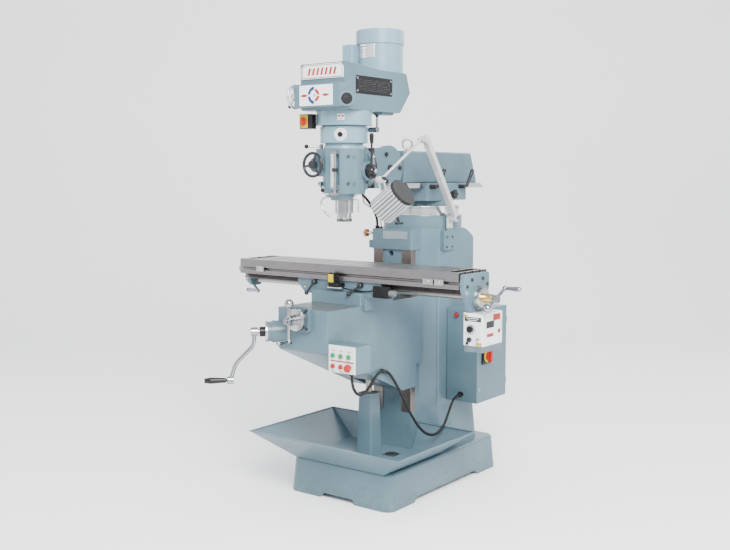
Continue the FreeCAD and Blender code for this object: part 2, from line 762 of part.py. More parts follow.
def make_knee_brackets(knee):
    y0 = knee_front_y - flange_thick
    flange = prism_y([(-flange_half, cross_z - flange_half), (flange_half, cross_z - flange_half),
                      (flange_half, cross_z + flange_half), (-flange_half, cross_z + flange_half)],
                     y0, knee_front_y, 10.0)
    boss = rod(Vector(0, y0 - 8, cross_z), Y, 42, 9)
    bore = rod(Vector(0, y0 - 10, cross_z), Y, shaft_radius + run, flange_thick + 30)
    cross = fuse(flange, boss).cut(bore)
    pieces = [cross]
    for x in (-42, 42):
        for z in (-42, 42):
            pieces.append(cap_screw(Vector(x, y0, cross_z + z), -Y, 7, 6))
    start = Vector(crank_x, crank_y, crank_z)
    barrel = rod(start - DIAGONAL * 50, DIAGONAL, crank_housing_radius, 50 + crank_housing_end - 18)
    lip = rod(start + DIAGONAL * (crank_housing_end - 18), DIAGONAL, crank_housing_radius - 5, 18)
    shaft_hole = rod(start - DIAGONAL * 60, DIAGONAL, shaft_radius + run, 140)
    housing = fuse(barrel, lip).cut(knee).cut(shaft_hole)
    housing = max(housing.Solids, key=lambda s: s.Volume)
    pieces.append(housing)
    return pieces


def make_cross_crank():
    y0 = knee_front_y - flange_thick - 8 - gap
    shaft = rod(Vector(0, y0 + 27, cross_z), -Y, shaft_radius, 120)
    dial = rod(Vector(0, y0, cross_z), -Y, dial_radius, dial_width)
    collar = rod(Vector(0, y0 - dial_width, cross_z), -Y, 24, 26)
    hub = Vector(0, y0 - dial_width - 26, cross_z)
    crank = ball_crank(hub, -Y, Vector(0.02, 0, 1).normalize(), Vector(-0.02, 0, -1).normalize(), -Y, 26.0)
    return fuse(shaft, dial, collar, crank)


def make_knee_crank():
    start = Vector(crank_x, crank_y, crank_z)
    s0 = crank_housing_end + gap
    shaft = rod(start + DIAGONAL * 22, DIAGONAL, shaft_radius, 120)
    dial = rod(start + DIAGONAL * s0, DIAGONAL, 47, 11)
    collar = rod(start + DIAGONAL * (s0 + 11), DIAGONAL, 23, 26)
    hub = rod(start + DIAGONAL * (s0 + 44), DIAGONAL, 21, 34)
    top = start + DIAGONAL * (s0 + 61)
    throw = DIAGONAL * knee_arm_throw
    points = [top,
              top + Vector(0, 0, -62) + DIAGONAL * 3,
              top + Vector(0, 0, -knee_arm_drop * 0.47) + throw * 0.42,
              top + Vector(0, 0, -knee_arm_drop * 0.66) + throw * 0.80,
              top + Vector(0, 0, -knee_arm_drop) + throw]
    arm = tube("knee crank arm", points, 9.5)
    foot = points[-1]
    boss = rod(foot - DIAGONAL * 15, DIAGONAL, 18, 30)
    stem = rod(foot, DIAGONAL, 7, 40)
    grip = cone(foot + DIAGONAL * 20, DIAGONAL, 11, 15, knee_grip_length * 0.6)
    end = cone(foot + DIAGONAL * (20 + knee_grip_length * 0.6), DIAGONAL, 15, 11, knee_grip_length * 0.25)
    return fuse(shaft, dial, collar, hub, arm, boss, stem, grip, end)


def make_control_box():
    w = box_wall
    shell = block(knee_half, box_right_x, box_front_y, box_rear_y, box_bottom_z, box_top_z)
    inside = block(knee_half + w, box_right_x - w, box_front_y + w, box_rear_y - w,
                   box_bottom_z + w, box_top_z - w)
    panel = prism_y([(knee_half + 4, box_bottom_z + 4), (box_right_x - 4, box_bottom_z + 4),
                     (box_right_x - 4, box_top_z - 4), (knee_half + 4, box_top_z - 4)],
                    box_front_y - panel_thick, box_front_y, 4.0)
    shell = shell.cut(inside)
    for x in button_columns:
        for z in button_rows:
            hole = rod(Vector(x, box_front_y - panel_thick - 1, z), Y, button_radius + gap, 20)
            shell = shell.cut(hole)
            panel = panel.cut(hole)
    exit_at = conduit_points()[0]
    gland = rod(Vector(exit_at.x, exit_at.y, box_bottom_z), -Z, 12, 16)
    gland = gland.cut(rod(Vector(exit_at.x, exit_at.y, box_bottom_z + 1), -Z, conduit_radius + gap, 20))
    clip_at = conduit_clip()
    clip = rod(clip_at - Y * 5, Y, conduit_radius + 3, 10).cut(
        rod(clip_at - Y * 6, Y, conduit_radius + gap, 12))
    tab = block(knee_half, clip_at.x, clip_at.y - 5, clip_at.y + 5,
                clip_at.z + conduit_radius + gap, clip_at.z + conduit_radius + 3)
    return [shell, panel, gland, fuse(clip, tab)]


def make_push_button(x, z):
    return rod(Vector(x, box_front_y - panel_thick - button_proud, z), Y, button_radius,
               button_proud + button_depth)


def make_stop_button(x, z):
    stem = rod(Vector(x, box_front_y - panel_thick - 12, z), Y, button_radius, 12 + button_depth)
    head = cone(Vector(x, box_front_y - panel_thick - 12, z), -Y, stop_radius, stop_radius - 4, stop_height)
    return fuse(stem, head)


# ---------------------------------------------------------------- hoses
def conduit_clip():
    return Vector(knee_half + 13, -348, 632)


def conduit_points():
    """Route of the control conduit: box, loop, clip on the knee, loop, cabinet."""
    c = conduit_clip()
    return [Vector(236, -690, box_bottom_z - 2), Vector(236, -690, 632), Vector(226, -645, 582),
            Vector(204, -580, 562), Vector(183, -500, 570), Vector(168, -436, 604),
            Vector(c.x, c.y - 36, c.z), Vector(c.x, c.y + 36, c.z),
            Vector(172, -254, 556), Vector(194, -212, 462), Vector(220, -170, 366), Vector(246, -122, 296),
            Vector(268, -60, 272), Vector(284, 0, 308), Vector(291, 40, 384), Vector(293, 84, 451),
            Vector(293, cabinet_y0 - 2, 451)]


def head_conduit_points():
    """Route of the motor conduit, from the column's front block up behind the quill housing."""
    return [Vector(-104, -36, head_block_top_z + 1), Vector(-104, -36, 1336), Vector(-99, -62, 1376),
            Vector(-92, -104, 1414), Vector(-86, -144, 1442), Vector(-84, -176, 1462), Vector(-84, -204, 1479)]


def hose_points():
    """Route of the coolant hose, from the column's front block to the manifold by the quill."""
    return [Vector(-76, -40, head_block_top_z + 1), Vector(-76, -40, 1336), Vector(-74, -76, 1378),
            Vector(-66, -136, 1404), Vector(-50, -200, 1420), Vector(-24, -262, 1436),
            Vector(14, -312, 1450), Vector(50, -360, 1460), Vector(76, -398, 1465), Vector(84, -428, 1467)]


# ---------------------------------------------------------------- saddle
def slide_outline(clearance):
    """Cross-section of the table's dovetail slide, in Y and Z."""
    top = table_top_z - slab_thick
    bottom = top - slide_depth
    a = slide_half_top + clearance
    b = slide_half_bottom + clearance
    return [(table_y - b, bottom - clearance), (table_y + b, bottom - clearance),
            (table_y + a, top + 1), (table_y - a, top + 1)]


def make_saddle_casting():
    z0 = knee_top_z + gap
    slab_z = table_top_z - slab_thick
    lower = prism_z(rectangle(-saddle_lower_half, saddle_lower_half, saddle_lower_front_y, saddle_lower_rear_y),
                    z0, saddle_wing_z + 20, 6.0)
    h = saddle_half
    wing = [(-h, slab_z - gap), (-h, slab_z - 26), (-h + 44, saddle_wing_z), (h - 44, saddle_wing_z),
            (h, slab_z - 26), (h, slab_z - gap)]
    upper = prism_y(wing, saddle_front_y, saddle_rear_y, [0, 16, 30, 30, 16, 0])
    body = fuse(lower, upper)
    body = body.cut(prism_x(slide_outline(gap), -h - 1, h + 1))
    channel = block(-h - 1, h + 1, table_y - 24, table_y + 24, feed_z - 24, slab_z)
    body = body.cut(channel)
    nut = block(-40, 40, table_y - 24, table_y + 24, feed_z - 24, feed_z + 13)
    nut = nut.cut(rod(Vector(-50, table_y, feed_z), X, feed_radius + run, 100))
    keeps = []
    for side in (-1, 1):
        inner = side * (knee_half + gap)
        outer = side * (knee_half + 16)
        keeps.append(block(min(inner, outer), max(inner, outer), saddle_lower_front_y + 20,
                           saddle_lower_rear_y - 20, knee_top_z - 22, saddle_wing_z - 1))
    return fuse(body, nut, keeps[0], keeps[1])


def make_limit_switch():
    y = saddle_front_y
    bracket = fuse(block(-42, 40, y - 30, y, 1036, 1042), block(-42, 40, y - 4, y, 1036, 1062))
    case = block(-27, 12, y - 46, y - 14, 1060, 1110)
    case = fuse(case, block(-27, 30, y - 40, y - 14, 1042, 1062))
    button = block(-22, 7, y - 49, y - 46, 1066, 1104)
    roller = rod(Vector(-10, y - 26, 1110), Z, 4, 5)
    lead = tube("switch lead", [Vector(30, y - 26, 1048), Vector(64, y - 18, 1036), Vector(104, y - 4.5, 1029),
                                Vector(160, y - 4.5, 1028), Vector(214, y - 7, 1036)], 3.0)
    stop = saddle_half
    junction = block(stop - 36, stop + 52, y - 14, y + 16, 1006, 1060).cut(
        block(stop - 60, stop, y, y + 80, 990, 1100))
    plug = rod(Vector(stop + 52, y, 1030), X, 14, 28)
    return [bracket, case, button, roller, lead, junction, plug]


def make_table_lock(x, ball_x, ball_z):
    """Clamp lever on the front of the saddle: hub, slanted stalk and ball."""
    y = saddle_front_y - gap
    hub = rod(Vector(x, y, lever_z), -Y, 12, 20)
    root = Vector(x, y - 14, lever_z)
    end = Vector(ball_x, y - 34, ball_z)
    cap = cone(Vector(x, y - 20, lever_z), -Y, 12, 8, 4)
    return fuse(hub, cap, bar(root, end, 5), ball(end, 11, end - root))


# ---------------------------------------------------------------- table
def make_table_casting():
    x0 = table_x - table_length / 2
    x1 = table_x + table_length / 2
    y0 = table_y - table_width / 2
    y1 = table_y + table_width / 2
    slab_z = table_top_z - slab_thick
    slab = block(x0, x1, y0, y1, slab_z, table_top_z)
    slide = prism_x(slide_outline(0), x0, x1)
    body = fuse(slab, slide)
    for i in (-1, 0, 1):
        y = table_y + i * tee_pitch
        mouth = block(x0 - 1, x1 + 1, y - tee_mouth / 2, y + tee_mouth / 2,
                      table_top_z - tee_throat - 1, table_top_z + 1)
        foot = block(x0 - 1, x1 + 1, y - tee_foot / 2, y + tee_foot / 2,
                     table_top_z - tee_throat - tee_foot_depth, table_top_z - tee_throat)
        body = body.cut(mouth).cut(foot)
    for x in (x0 + 22, x1 - 22 - trough_length):
        body = body.cut(block(x, x + trough_length, y0 + 22, y1 - 22,
                              table_top_z - trough_depth, table_top_z + 1))
    h = side_tee_mouth / 2
    body = body.cut(block(x0 - 1, x1 + 1, y0 - 1, y0 + side_tee_depth / 2, side_tee_z - h, side_tee_z + h))
    body = body.cut(block(x0 - 1, x1 + 1, y0 + side_tee_depth / 2, y0 + side_tee_depth,
                          side_tee_z - h - 4, side_tee_z + h + 4))
    groove = block(x0 - 1, x1 + 1, table_y - 24, table_y + 24, slab_z - slide_depth - 1, slab_z - 8)
    return body.cut(groove)


def make_table_end_brackets():
    x1 = table_x + table_length / 2
    x0 = table_x - table_length / 2
    y = table_y
    bore = shaft_radius + run
    face = [(y - 104, table_top_z - 8), (y - 104, table_top_z - 80), (y - 62, feed_z - 40),
            (y - 50, feed_box_z1), (y + 50, feed_box_z1), (y + 62, feed_z - 40),
            (y + 104, table_top_z - 80), (y + 104, table_top_z - 8)]
    plate = prism_x(face, x1, x1 + end_plate, [12, 20, 20, 0, 0, 20, 20, 12])
    boss = rod(Vector(x1 + end_plate, y, feed_z), X, 50, 16)
    right = fuse(plate, boss).cut(rod(Vector(x1 - 1, y, feed_z), X, bore, 60))
    pieces = [right]
    for dy, z in ((-86, table_top_z - 62), (-46, table_top_z - 34), (46, table_top_z - 34), (86, table_top_z - 62)):
        pieces.append(cap_screw(Vector(x1 + end_plate, y + dy, z), X, 8, 5))
    small = [(y - 62, table_top_z - slab_thick - 1), (y - 36, feed_z - 30), (y + 36, feed_z - 30),
             (y + 62, table_top_z - slab_thick - 1), (y + 62, table_top_z - 30), (y - 62, table_top_z - 30)]
    plate = prism_x(small, x0 - 18, x0, [6, 24, 24, 6, 8, 8])
    boss = rod(Vector(x0 - 18, y, feed_z), -X, 32, 18)
    left = fuse(plate, boss).cut(rod(Vector(x0 - 50, y, feed_z), X, bore, 60))
    pieces.append(left)
    for dy in (-44, 44):
        pieces.append(cap_screw(Vector(x0 - 18, y + dy, table_top_z - 50), -X, 7, 5))
    return pieces


def make_table_dogs():
    y0 = table_y - table_width / 2
    pieces = []
    for x0, x1 in ((-511, -463), (492, 545), (553, 600)):
        shoe = block(x0, x1, y0 - 9, y0 - 0.2, side_tee_z - 12, side_tee_z + 14)
        tongue = block(x0 + 6, x1 - 6, y0 - 0.2, y0 + side_tee_depth / 2 - 1,
                       side_tee_z - side_tee_mouth / 2 + 0.4, side_tee_z + side_tee_mouth / 2 - 0.4)
        nut = rod(Vector((x0 + x1) / 2, y0 - 9, side_tee_z + 1), -Y, 7, 5)
        pieces.append(fuse(shoe, tongue, nut))
    return pieces


def make_table_screw():
    x0 = table_x - table_length / 2
    x1 = table_x + table_length / 2
    y = table_y
    screw = rod(Vector(x0 + gap, y, feed_z), X, feed_radius, table_length - 2 * gap)
    right_end = x1 + end_plate + 16 + gap
    left_end = x0 - 36 - gap
    spindle = rod(Vector(left_end - 30, y, feed_z), X, shaft_radius, right_end - left_end + 100)
    dial = rod(Vector(right_end, y, feed_z), X, 45, 20)
    collar = rod(Vector(right_end + 20, y, feed_z), X, 20, 44)
    hub = Vector(right_end + 64, y, feed_z)
    lean = Vector(0, 0.90, 0.43).normalize()
    right = ball_crank(hub, X, -lean, lean, X, 26.0)
    hub = Vector(left_end - 26, y, feed_z)
    lean = Vector(0, 0.66, -0.75).normalize()
    left = ball_crank(hub, X, -lean, lean, -X, 26.0)
    return fuse(screw, spindle, dial, collar, right, left)


def make_power_feed():
    x0, x1, y0, y1 = feed_box_x0, feed_box_x1, feed_box_y0, feed_box_y1
    base_z = feed_box_z0 + 28
    case = prism_z(rectangle(x0, x1, y0, y1), base_z, feed_box_z1, 12.0)
    foot = prism_z(rectangle(x0 + 3, x1 - 3, y0 + 3, y1 - 3), feed_box_z0, base_z, 10.0)
    bezel = rod(Vector(700, y0 - 3, 897), Y, 22, 3)
    knob = rod(Vector(700, y0 - 15, 897), Y, 14, 12)
    tab = block(x1, x1 + 2, -350, -290, 930, 958)
    port = rod(Vector(x1, -300, 880), X, 9, 4)
    toggle = rod(Vector(738, y0 - 10, 855), Y, 5, 10)
    return [fuse(case, bezel), foot, knob, tab, port, toggle]


def make_power_feed_lever():
    y0 = feed_box_y0 - gap
    return fuse(rod(Vector(694, y0, 850), -Y, 11, 9), bar(Vector(694, y0 - 6, 850), Vector(694, y0 - 22, 836), 4),
                ball(Vector(694, y0 - 22, 836), 7))


# ---------------------------------------------------------------- turret and ram
def ram_foot_outline(clearance):
    """Dovetail foot of the ram in X and Z, wide at the bottom."""
    a = ram_foot_half + clearance
    b = ram_half + 5 + clearance
    return [(-a, ram_bottom_z - clearance), (a, ram_bottom_z - clearance), (b, ram_waist_z), (-b, ram_waist_z)]


def make_turret_casting():
    z0 = column_top_z + gap
    ring = rod(Vector(0, turret_y, z0), Z, ring_radius, ring_top_z - z0)
    neck = cone(Vector(0, turret_y, ring_top_z), Z, neck_radius + 16, neck_radius, neck_top_z - ring_top_z)
    deck = prism_z(rectangle(-cradle_half, cradle_half, cradle_front_y, cradle_rear_y),
                   neck_top_z - 18, ram_waist_z - gap, 18.0)
    spigot = rod(Vector(0, turret_y, column_top_z - 50), Z, 60 - run, 60)
    body = fuse(ring, neck, deck, spigot)
    slot = prism_y(ram_foot_outline(gap), cradle_front_y - 1, cradle_rear_y + 1)
    body = body.cut(slot)
    body = body.cut(block(-ram_half - 6, ram_half + 6, cradle_front_y - 1, cradle_rear_y + 1,
                          ram_waist_z - 1, ram_waist_z + 5))
    pinion_hole = rod(Vector(60, 255, 1470), X, 10 + run, 120)
    body = body.cut(pinion_hole)
    pieces = [body]
    for angle in (-112, -68, 68, 112):
        a = math.radians(angle)
        centre = Vector(178 * math.cos(a), turret_y + 178 * math.sin(a), ring_top_z)
        pieces.append(hex_head(centre, Z, 17, 11))
    return pieces


def make_ram_lock(y):
    """Clamping handle on the cradle: threaded stud, hub and cranked arm."""
    x = cradle_half + gap
    z = 1508.0
    hub = rod(Vector(x, y, z), X, 11, 34)
    root = Vector(x + 24, y, z)
    elbow = root + Vector(4, 30, 4)
    end = elbow + Vector(6, 44, 78)
    return fuse(hub, bar(root, elbow, 9), ball(elbow, 9), cone(elbow, end - elbow, 8, 10.5, (end - elbow).Length),
                ball(end, 10.5))


def make_ram_pinion_knob():
    x = cradle_half + gap
    shaft = rod(Vector(x - 70, 255, 1470), X, 10, 100)
    centre = Vector(x + 18, 255, 1470)
    knob = rod(centre, X, 17, 18)
    for i in range(5):
        angle = math.radians(72 * i)
        knob = knob.fuse(rod(centre + Vector(0, 15 * math.cos(angle), 15 * math.sin(angle)), X, 8, 18))
    return fuse(knob.removeSplitter(), shaft)


def make_ram_casting():
    side = [(ram_front_y, ram_waist_z), (ram_rear_y, ram_waist_z), (ram_rear_top_y, ram_top_z),
            (ram_front_y, ram_top_z)]
    body = prism_x(side, -ram_half, ram_half, [0, 6, 12, 10])
    body = body.makeFillet(9.0, [e for e in body.Edges if abs(e.BoundBox.ZMin - ram_top_z) < 0.01
                                 and e.BoundBox.YLength > 300])
    foot = prism_y(ram_foot_outline(0), ram_front_y + 12, ram_rear_y + 26)
    tongue_z = tongue_radius
    tongue = fuse(block(-tongue_half, tongue_half, nod_y, ram_front_y + 5, nod_z - tongue_z + 2, nod_z + 80),
                  rod(Vector(-tongue_half, nod_y, nod_z), X, tongue_radius, 2 * tongue_half))
    body = fuse(body, foot, tongue)
    hollow = block(-ram_half + 24, ram_half - 24, ram_front_y + 60, ram_rear_top_y - 50,
                   ram_waist_z + 20, ram_top_z - 24)
    body = body.cut(hollow)
    body = body.cut(rod(Vector(-ram_half - 5, nod_y, nod_z), X, 14 + run, 2 * ram_half + 10))
    stud = rod(Vector(0, 81, ram_top_z), Z, 14, 8)
    eye = Part.makeTorus(25, 6, Vector(0, 81, ram_top_z + 39), Vector(0.6, -0.8, 0))
    return [body, fuse(eye, stud, rod(Vector(0, 81, ram_top_z), Z, 7, 16))]


def make_ram_knuckle():
    inner = tongue_half + gap
    outer = ram_half
    wall_inner = nod_y - tongue_radius - 6
    cheeks = []
    for side in (-1, 1):
        x0 = min(side * inner, side * outer)
        x1 = max(side * inner, side * outer)
        disc = rod(Vector(x0, nod_y, nod_z), X, cheek_radius, x1 - x0)
        web = block(x0, x1, wall_inner - 2, nod_y, nod_z - 96, nod_z + 96)
        cheeks.append(fuse(disc, web))
    wall = prism_y([(-outer, nod_z - 96), (outer, nod_z - 96), (outer, nod_z + 96), (-outer, nod_z + 96)],
                   tilt_face_y + 10, wall_inner, 8.0)
    face = rod(Vector(0, tilt_face_y, nod_z), Y, tilt_radius, 14)
    pivot = rod(Vector(-outer - 6, nod_y, nod_z), X, 14, 2 * outer + 12)
    heads = fuse(rod(Vector(outer, nod_y, nod_z), X, 17, 10), rod(Vector(-outer, nod_y, nod_z), -X, 17, 10))
    body = fuse(cheeks[0], cheeks[1], wall, face, pivot, heads)
    pieces = [body]
    for dy, dz in ((-31, 66), (82, 2), (-30, -62)):
        for side in (-1, 1):
            pieces.append(hex_head(Vector(side * outer, nod_y + dy, nod_z + dz), X * side, 19, 10))
    return pieces


# ---------------------------------------------------------------- head
def spindle_axis(z):
    return Vector(0, spindle_y, z)


def make_quill_housing():
    y0 = tilt_face_y - gap
    flange = rod(Vector(0, y0, nod_z), -Y, tilt_radius, 26)
    neck = prism_z(rectangle(-82, 82, spindle_y, y0 - 20), housing_bottom_z + 22, housing_top_z, 6.0)
    barrel = rod(spindle_axis(housing_bottom_z), Z, housing_radius, housing_top_z - housing_bottom_z)
    flat = block(-200, 200, spindle_y - 200, housing_front_y, housing_bottom_z - 1, housing_top_z + 1)
    skirt = cone(spindle_axis(skirt_bottom_z), Z, skirt_radius - 14, skirt_radius, housing_bottom_z - skirt_bottom_z)
    feed_boss = rod(Vector(60, pinion_y, pinion_z), X, 46, 52)
    worm_boss = rod(Vector(fine_x, housing_front_y - 4, fine_z), Y, 36, 90)
    side_lobe = prism_z(rectangle(-112, -60, -520, -400), 1560, housing_top_z, 10.0)
    trip_boss = rod(Vector(trip_x, trip_face_y, trip_z), Y, 12, 40)
    body = barrel.cut(flat)
    for lump in (flange, neck, skirt, feed_boss, worm_boss, side_lobe, trip_boss):
        body = body.fuse(lump)
    body = body.cut(block(-200, 200, y0, y0 + 100, housing_bottom_z - 50, housing_top_z + 50))
    body = body.cut(rod(spindle_axis(skirt_bottom_z - 1), Z, quill_radius + run, 400))
    body = body.cut(rod(Vector(fine_x, housing_front_y - 10, fine_z), Y, 8 + run, 70))
    slot = block(stop_rod_x - 11, stop_rod_x + 11, housing_front_y - 1, housing_front_y + 16, 1520, 1662)
    body = body.cut(slot)
    body = body.cut(rod(Vector(70, pinion_y, pinion_z), X, 13 + run, 60))
    pieces = [body]
    for z in (1528, 1652):
        for x in (74, 90):
            y = spindle_y - math.sqrt(housing_radius ** 2 - x ** 2) + 3
            screw = cap_screw(Vector(x, y, z), Vector(x, y - spindle_y, 0).normalize(), 7, 8)
            pieces.append(screw.cut(body))
    return pieces


def make_gear_housing(housing):
    neck = cone(spindle_axis(housing_top_z), Z, 96, 88, feed_case_z0 - housing_top_z)
    feed_case = rod(spindle_axis(feed_case_z0), Z, feed_case_radius, feed_case_z1 - feed_case_z0)
    step = rod(spindle_axis(feed_case_z1), Z, feed_case_radius - 8, gear_case_z0 - feed_case_z1)
    gear_case = rod(spindle_axis(gear_case_z0), Z, gear_case_radius, gear_case_z1 - gear_case_z0)
    lip = rod(spindle_axis(gear_case_z0), Z, gear_case_radius + 3, 9)
    body = fuse(neck, feed_case, step, gear_case, lip)
    body = body.cut(rod(spindle_axis(housing_top_z - 1), Z, quill_radius + 4, 140))
    face_y = tilt_face_y - gap
    body = body.cut(block(-200, 200, face_y, face_y + 100, housing_top_z - 1, nod_z + 145)).cut(housing)
    pieces = [max(body.Solids, key=lambda s: s.Volume)]
    toward = Vector(0.5, -0.866, 0).normalize()
    face = spindle_axis(1753) + toward * feed_case_radius
    pieces.append(rod(face - toward * 3, toward, 30, 6))
    pieces[1] = pieces[1].cut(rod(spindle_axis(1700), Z, feed_case_radius, 100))
    pieces.append(fuse(rod(face + toward * 3, toward, 12, 11), rod(face + toward * 14, toward, 9, 4)))
    return pieces


def make_switch_box():
    z0, z1 = 1782, 1850
    box = block(-162, -88, -574, -506, z0, z1)
    case = rod(spindle_axis(z0 - 10), Z, gear_case_radius + 3, 120)
    box = box.cut(case)
    face = block(-158, -112, -577, -574, z0 + 4, z1 - 4)
    hole = rod(Vector(-135, -580, 1816), Y, 7 + run, 30)
    return [box.cut(hole), face.cut(hole)]


def make_switch_knob():
    centre = Vector(-135, -577 - gap, 1816)
    return fuse(rod(centre + Vector(0, 18, 0), -Y, 7, 18), rod(centre, -Y, 19, 7),
                block(-139, -131, centre.y - 18, centre.y - 7, 1798, 1834))


def belt_profile(wall):
    return [(belt_front_y + wall, belt_bottom_z + wall), (belt_front_y + wall, belt_front_top_z - wall),
            (-330, belt_top_z - wall), (-118 - wall, belt_top_z - wall), (-87 - wall, 1965),
            (-171 - wall, belt_bottom_z + wall)]


def make_belt_housing():
    body = prism_x(belt_profile(0), -belt_half, belt_half, [8, 6, 0, 12, 14, 10])
    hollow = prism_x(belt_profile(belt_wall), -belt_half + belt_wall, belt_half - belt_wall)
    body = body.cut(hollow)
    dial_box = prism_y([(-dial_box_half, dial_box_z0), (dial_box_half, dial_box_z0),
                        (dial_box_half, dial_box_z1), (-dial_box_half, dial_box_z1)],
                       dial_box_front_y, belt_front_y, 6.0)
    boss = rod(Vector(dial_box_half - 8, -598, 1908), Vector(0.8, -0.6, 0), 34, 30)
    boss_face = rod(Vector(dial_box_half - 8, -598, 1908) + Vector(0.8, -0.6, 0) * 30, Vector(0.8, -0.6, 0), 26, 3)
    body = fuse(body, dial_box, boss)
    wheel = rod(Vector(-dial_box_half - 1, -618, speed_wheel_z), X, 9 + run, 30)
    body = body.cut(wheel)
    plate_top = belt_front_top_z - 6
    front_plate = prism_y([(-122, 2004), (122, 2004), (122, plate_top - 16), (106, plate_top),
                           (-106, plate_top), (-122, plate_top - 16)], belt_front_y - 4, belt_front_y, 2.0)
    dial_plate = prism_y([(-104, dial_box_z0 + 8), (92, dial_box_z0 + 8), (92, dial_box_z1 - 6),
                          (-104, dial_box_z1 - 6)], dial_box_front_y - 2, dial_box_front_y, 4.0)
    label = prism_x([(-522, 1938), (-238, 1938), (-238, 2020), (-522, 2020)], belt_half, belt_half + 2, 8.0)
    pieces = [body, front_plate, dial_plate, label, boss_face]
    for y in (-510, -250):
        for z in (1950, 2008):
            pieces.append(rod(Vector(belt_half + 2, y, z), X, 5, 2))
    latch = prism_x([(-288, belt_bottom_z - 12), (-208, belt_bottom_z - 12), (-194, belt_bottom_z),
                     (-302, belt_bottom_z)], 60, 112, 0.0)
    pieces.append(latch)
    return pieces


def make_motor():
    z0 = belt_top_z
    axis = Vector(0, motor_y, z0)
    flange = rod(axis, Z, motor_radius + 4, 8)
    body = rod(Vector(0, motor_y, z0 + 8), Z, motor_radius, motor_top_z - z0 - 8)
    stator = fuse(flange, body)
    cowl = rod(Vector(0, motor_y, motor_top_z), Z, cowl_radius, cowl_top_z - motor_top_z)
    cowl = cowl.makeFillet(7.0, [e for e in cowl.Edges if abs(e.BoundBox.ZMin - cowl_top_z) < 0.01
                                 and e.BoundBox.XLength > 10])
    box = prism_z(rectangle(-128, -66, -296, -210), 2104, 2194, 6.0).cut(
        rod(Vector(0, motor_y, 2100), Z, motor_radius, 100))
    box = max(box.Solids, key=lambda s: s.Volume)
    plate = rod(Vector(0, motor_y, 2128), Z, motor_radius + 1.2, 66).cut(
        rod(Vector(0, motor_y, 2100), Z, motor_radius, 140))
    plate = plate.common(block(-46, 44, -300, motor_y, 2128, 2194))
    plate = max(plate.Solids, key=lambda s: s.Volume)
    return [stator, cowl, box, plate]


def hand_wheel(centre, axis, radius, rim, spokes, hub, hub_length, side):
    """Spoked wheel: round rim, tapering spokes and a hub."""
    wheel = Part.makeTorus(radius - rim, rim, centre, axis)
    wheel = wheel.fuse(rod(centre - axis * (hub_length / 2), axis, hub, hub_length))
    other = axis.cross(side).normalize()
    for i in range(spokes):
        angle = 2 * math.pi * i / spokes + 0.35
        out = side * math.cos(angle) + other * math.sin(angle)
        wheel = wheel.fuse(rod(centre, out, rim * 0.8, radius - rim))
    return wheel.removeSplitter()


def make_speed_wheel():
    centre = Vector(-dial_box_half - 14, -618, speed_wheel_z)
    wheel = hand_wheel(centre, X, speed_wheel_radius, 6, 3, 15, 22, Z)
    shaft = rod(centre, X, 9, 40)
    root = centre + Vector(-4, -10, -44)
    knob = fuse(rod(root, -X, 5, 14), ball(root - X * 20, 9))
    return fuse(wheel, shaft, knob)


def make_fine_feed_wheel():
    centre = Vector(fine_x, fine_wheel_y, fine_z)
    wheel = hand_wheel(centre, Y, fine_wheel_radius, 7, 3, 18, 26, Z)
    shaft = rod(centre, Y, 8, 70)
    return fuse(wheel, shaft)


def make_hi_lo_lever():
    start = Vector(hi_lo_x + gap, spindle_y + hi_lo_offset, hi_lo_z)
    hub = rod(start, X, hi_lo_radius, gear_case_radius + 15 - hi_lo_x)
    root = start + X * (gear_case_radius + 10 - hi_lo_x)
    return fuse(hub, bar(root, root + Z * 66, 5), ball(root + Z * 66, 9))


def make_brake_lever():
    start = Vector(brake_x, brake_y, housing_top_z + gap)
    middle = start + Z * 11
    end = middle + Vector(-50, -50, 0)
    return fuse(rod(start, Z, 9, 22), bar(middle, end, 4.5), ball(end, 10))


def make_trip_lever():
    start = Vector(trip_x, trip_face_y - gap, trip_z)
    end = start + Vector(26, -28, -30)
    return fuse(rod(start, -Y, 9, 20), bar(start - Y * 14, end, 4.5), ball(end, 9))


def make_quill_lever():
    x0 = 112 + gap
    shaft = rod(Vector(74, pinion_y, pinion_z), X, 13, x0 - 74 + 4)
    hub = fuse(rod(Vector(x0, pinion_y, pinion_z), X, 34, 18), ball(Vector(x0 + 12, pinion_y, pinion_z), 26))
    hub = hub.cut(block(x0 - 40, x0, pinion_y - 50, pinion_y + 50, pinion_z - 50, pinion_z + 50))
    root = Vector(x0 + 14, pinion_y, pinion_z)
    stalk = bar(root, root + Z * 136, 5)
    grip = fuse(cone(root + Z * 128, Z, 8, 11, 38), ball(root + Z * 166, 11))
    return fuse(shaft, hub, stalk, grip)


def make_quill():
    body = rod(spindle_axis(quill_bottom_z), Z, quill_radius, quill_top_z - quill_bottom_z)
    body = body.cut(rod(spindle_axis(quill_bottom_z - 1), Z, spindle_radius + run, 400))
    return body


def make_spindle():
    nose = rod(spindle_axis(nose_bottom_z), Z, nose_radius, quill_bottom_z - gap - nose_bottom_z)
    flange = rod(spindle_axis(nose_bottom_z), Z, nose_radius + 3, 12)
    shaft = rod(spindle_axis(nose_bottom_z + 5), Z, spindle_radius, quill_top_z - nose_bottom_z + 40)
    body = fuse(nose, flange, shaft)
    mouth = cone(spindle_axis(nose_bottom_z - 0.01), Z, collet_mouth_radius, collet_radius, 26)
    bore = rod(spindle_axis(nose_bottom_z), Z, collet_radius, collet_depth + 26)
    body = body.cut(mouth).cut(bore)
    for angle in (30, 120, 210, 300):
        a = math.radians(angle)
        out = Vector(math.cos(a), math.sin(a), 0)
        centre = spindle_axis(nose_bottom_z + 20) + out * (nose_radius - 5)
        body = body.cut(rod(centre, out, 4, 10))
    return body


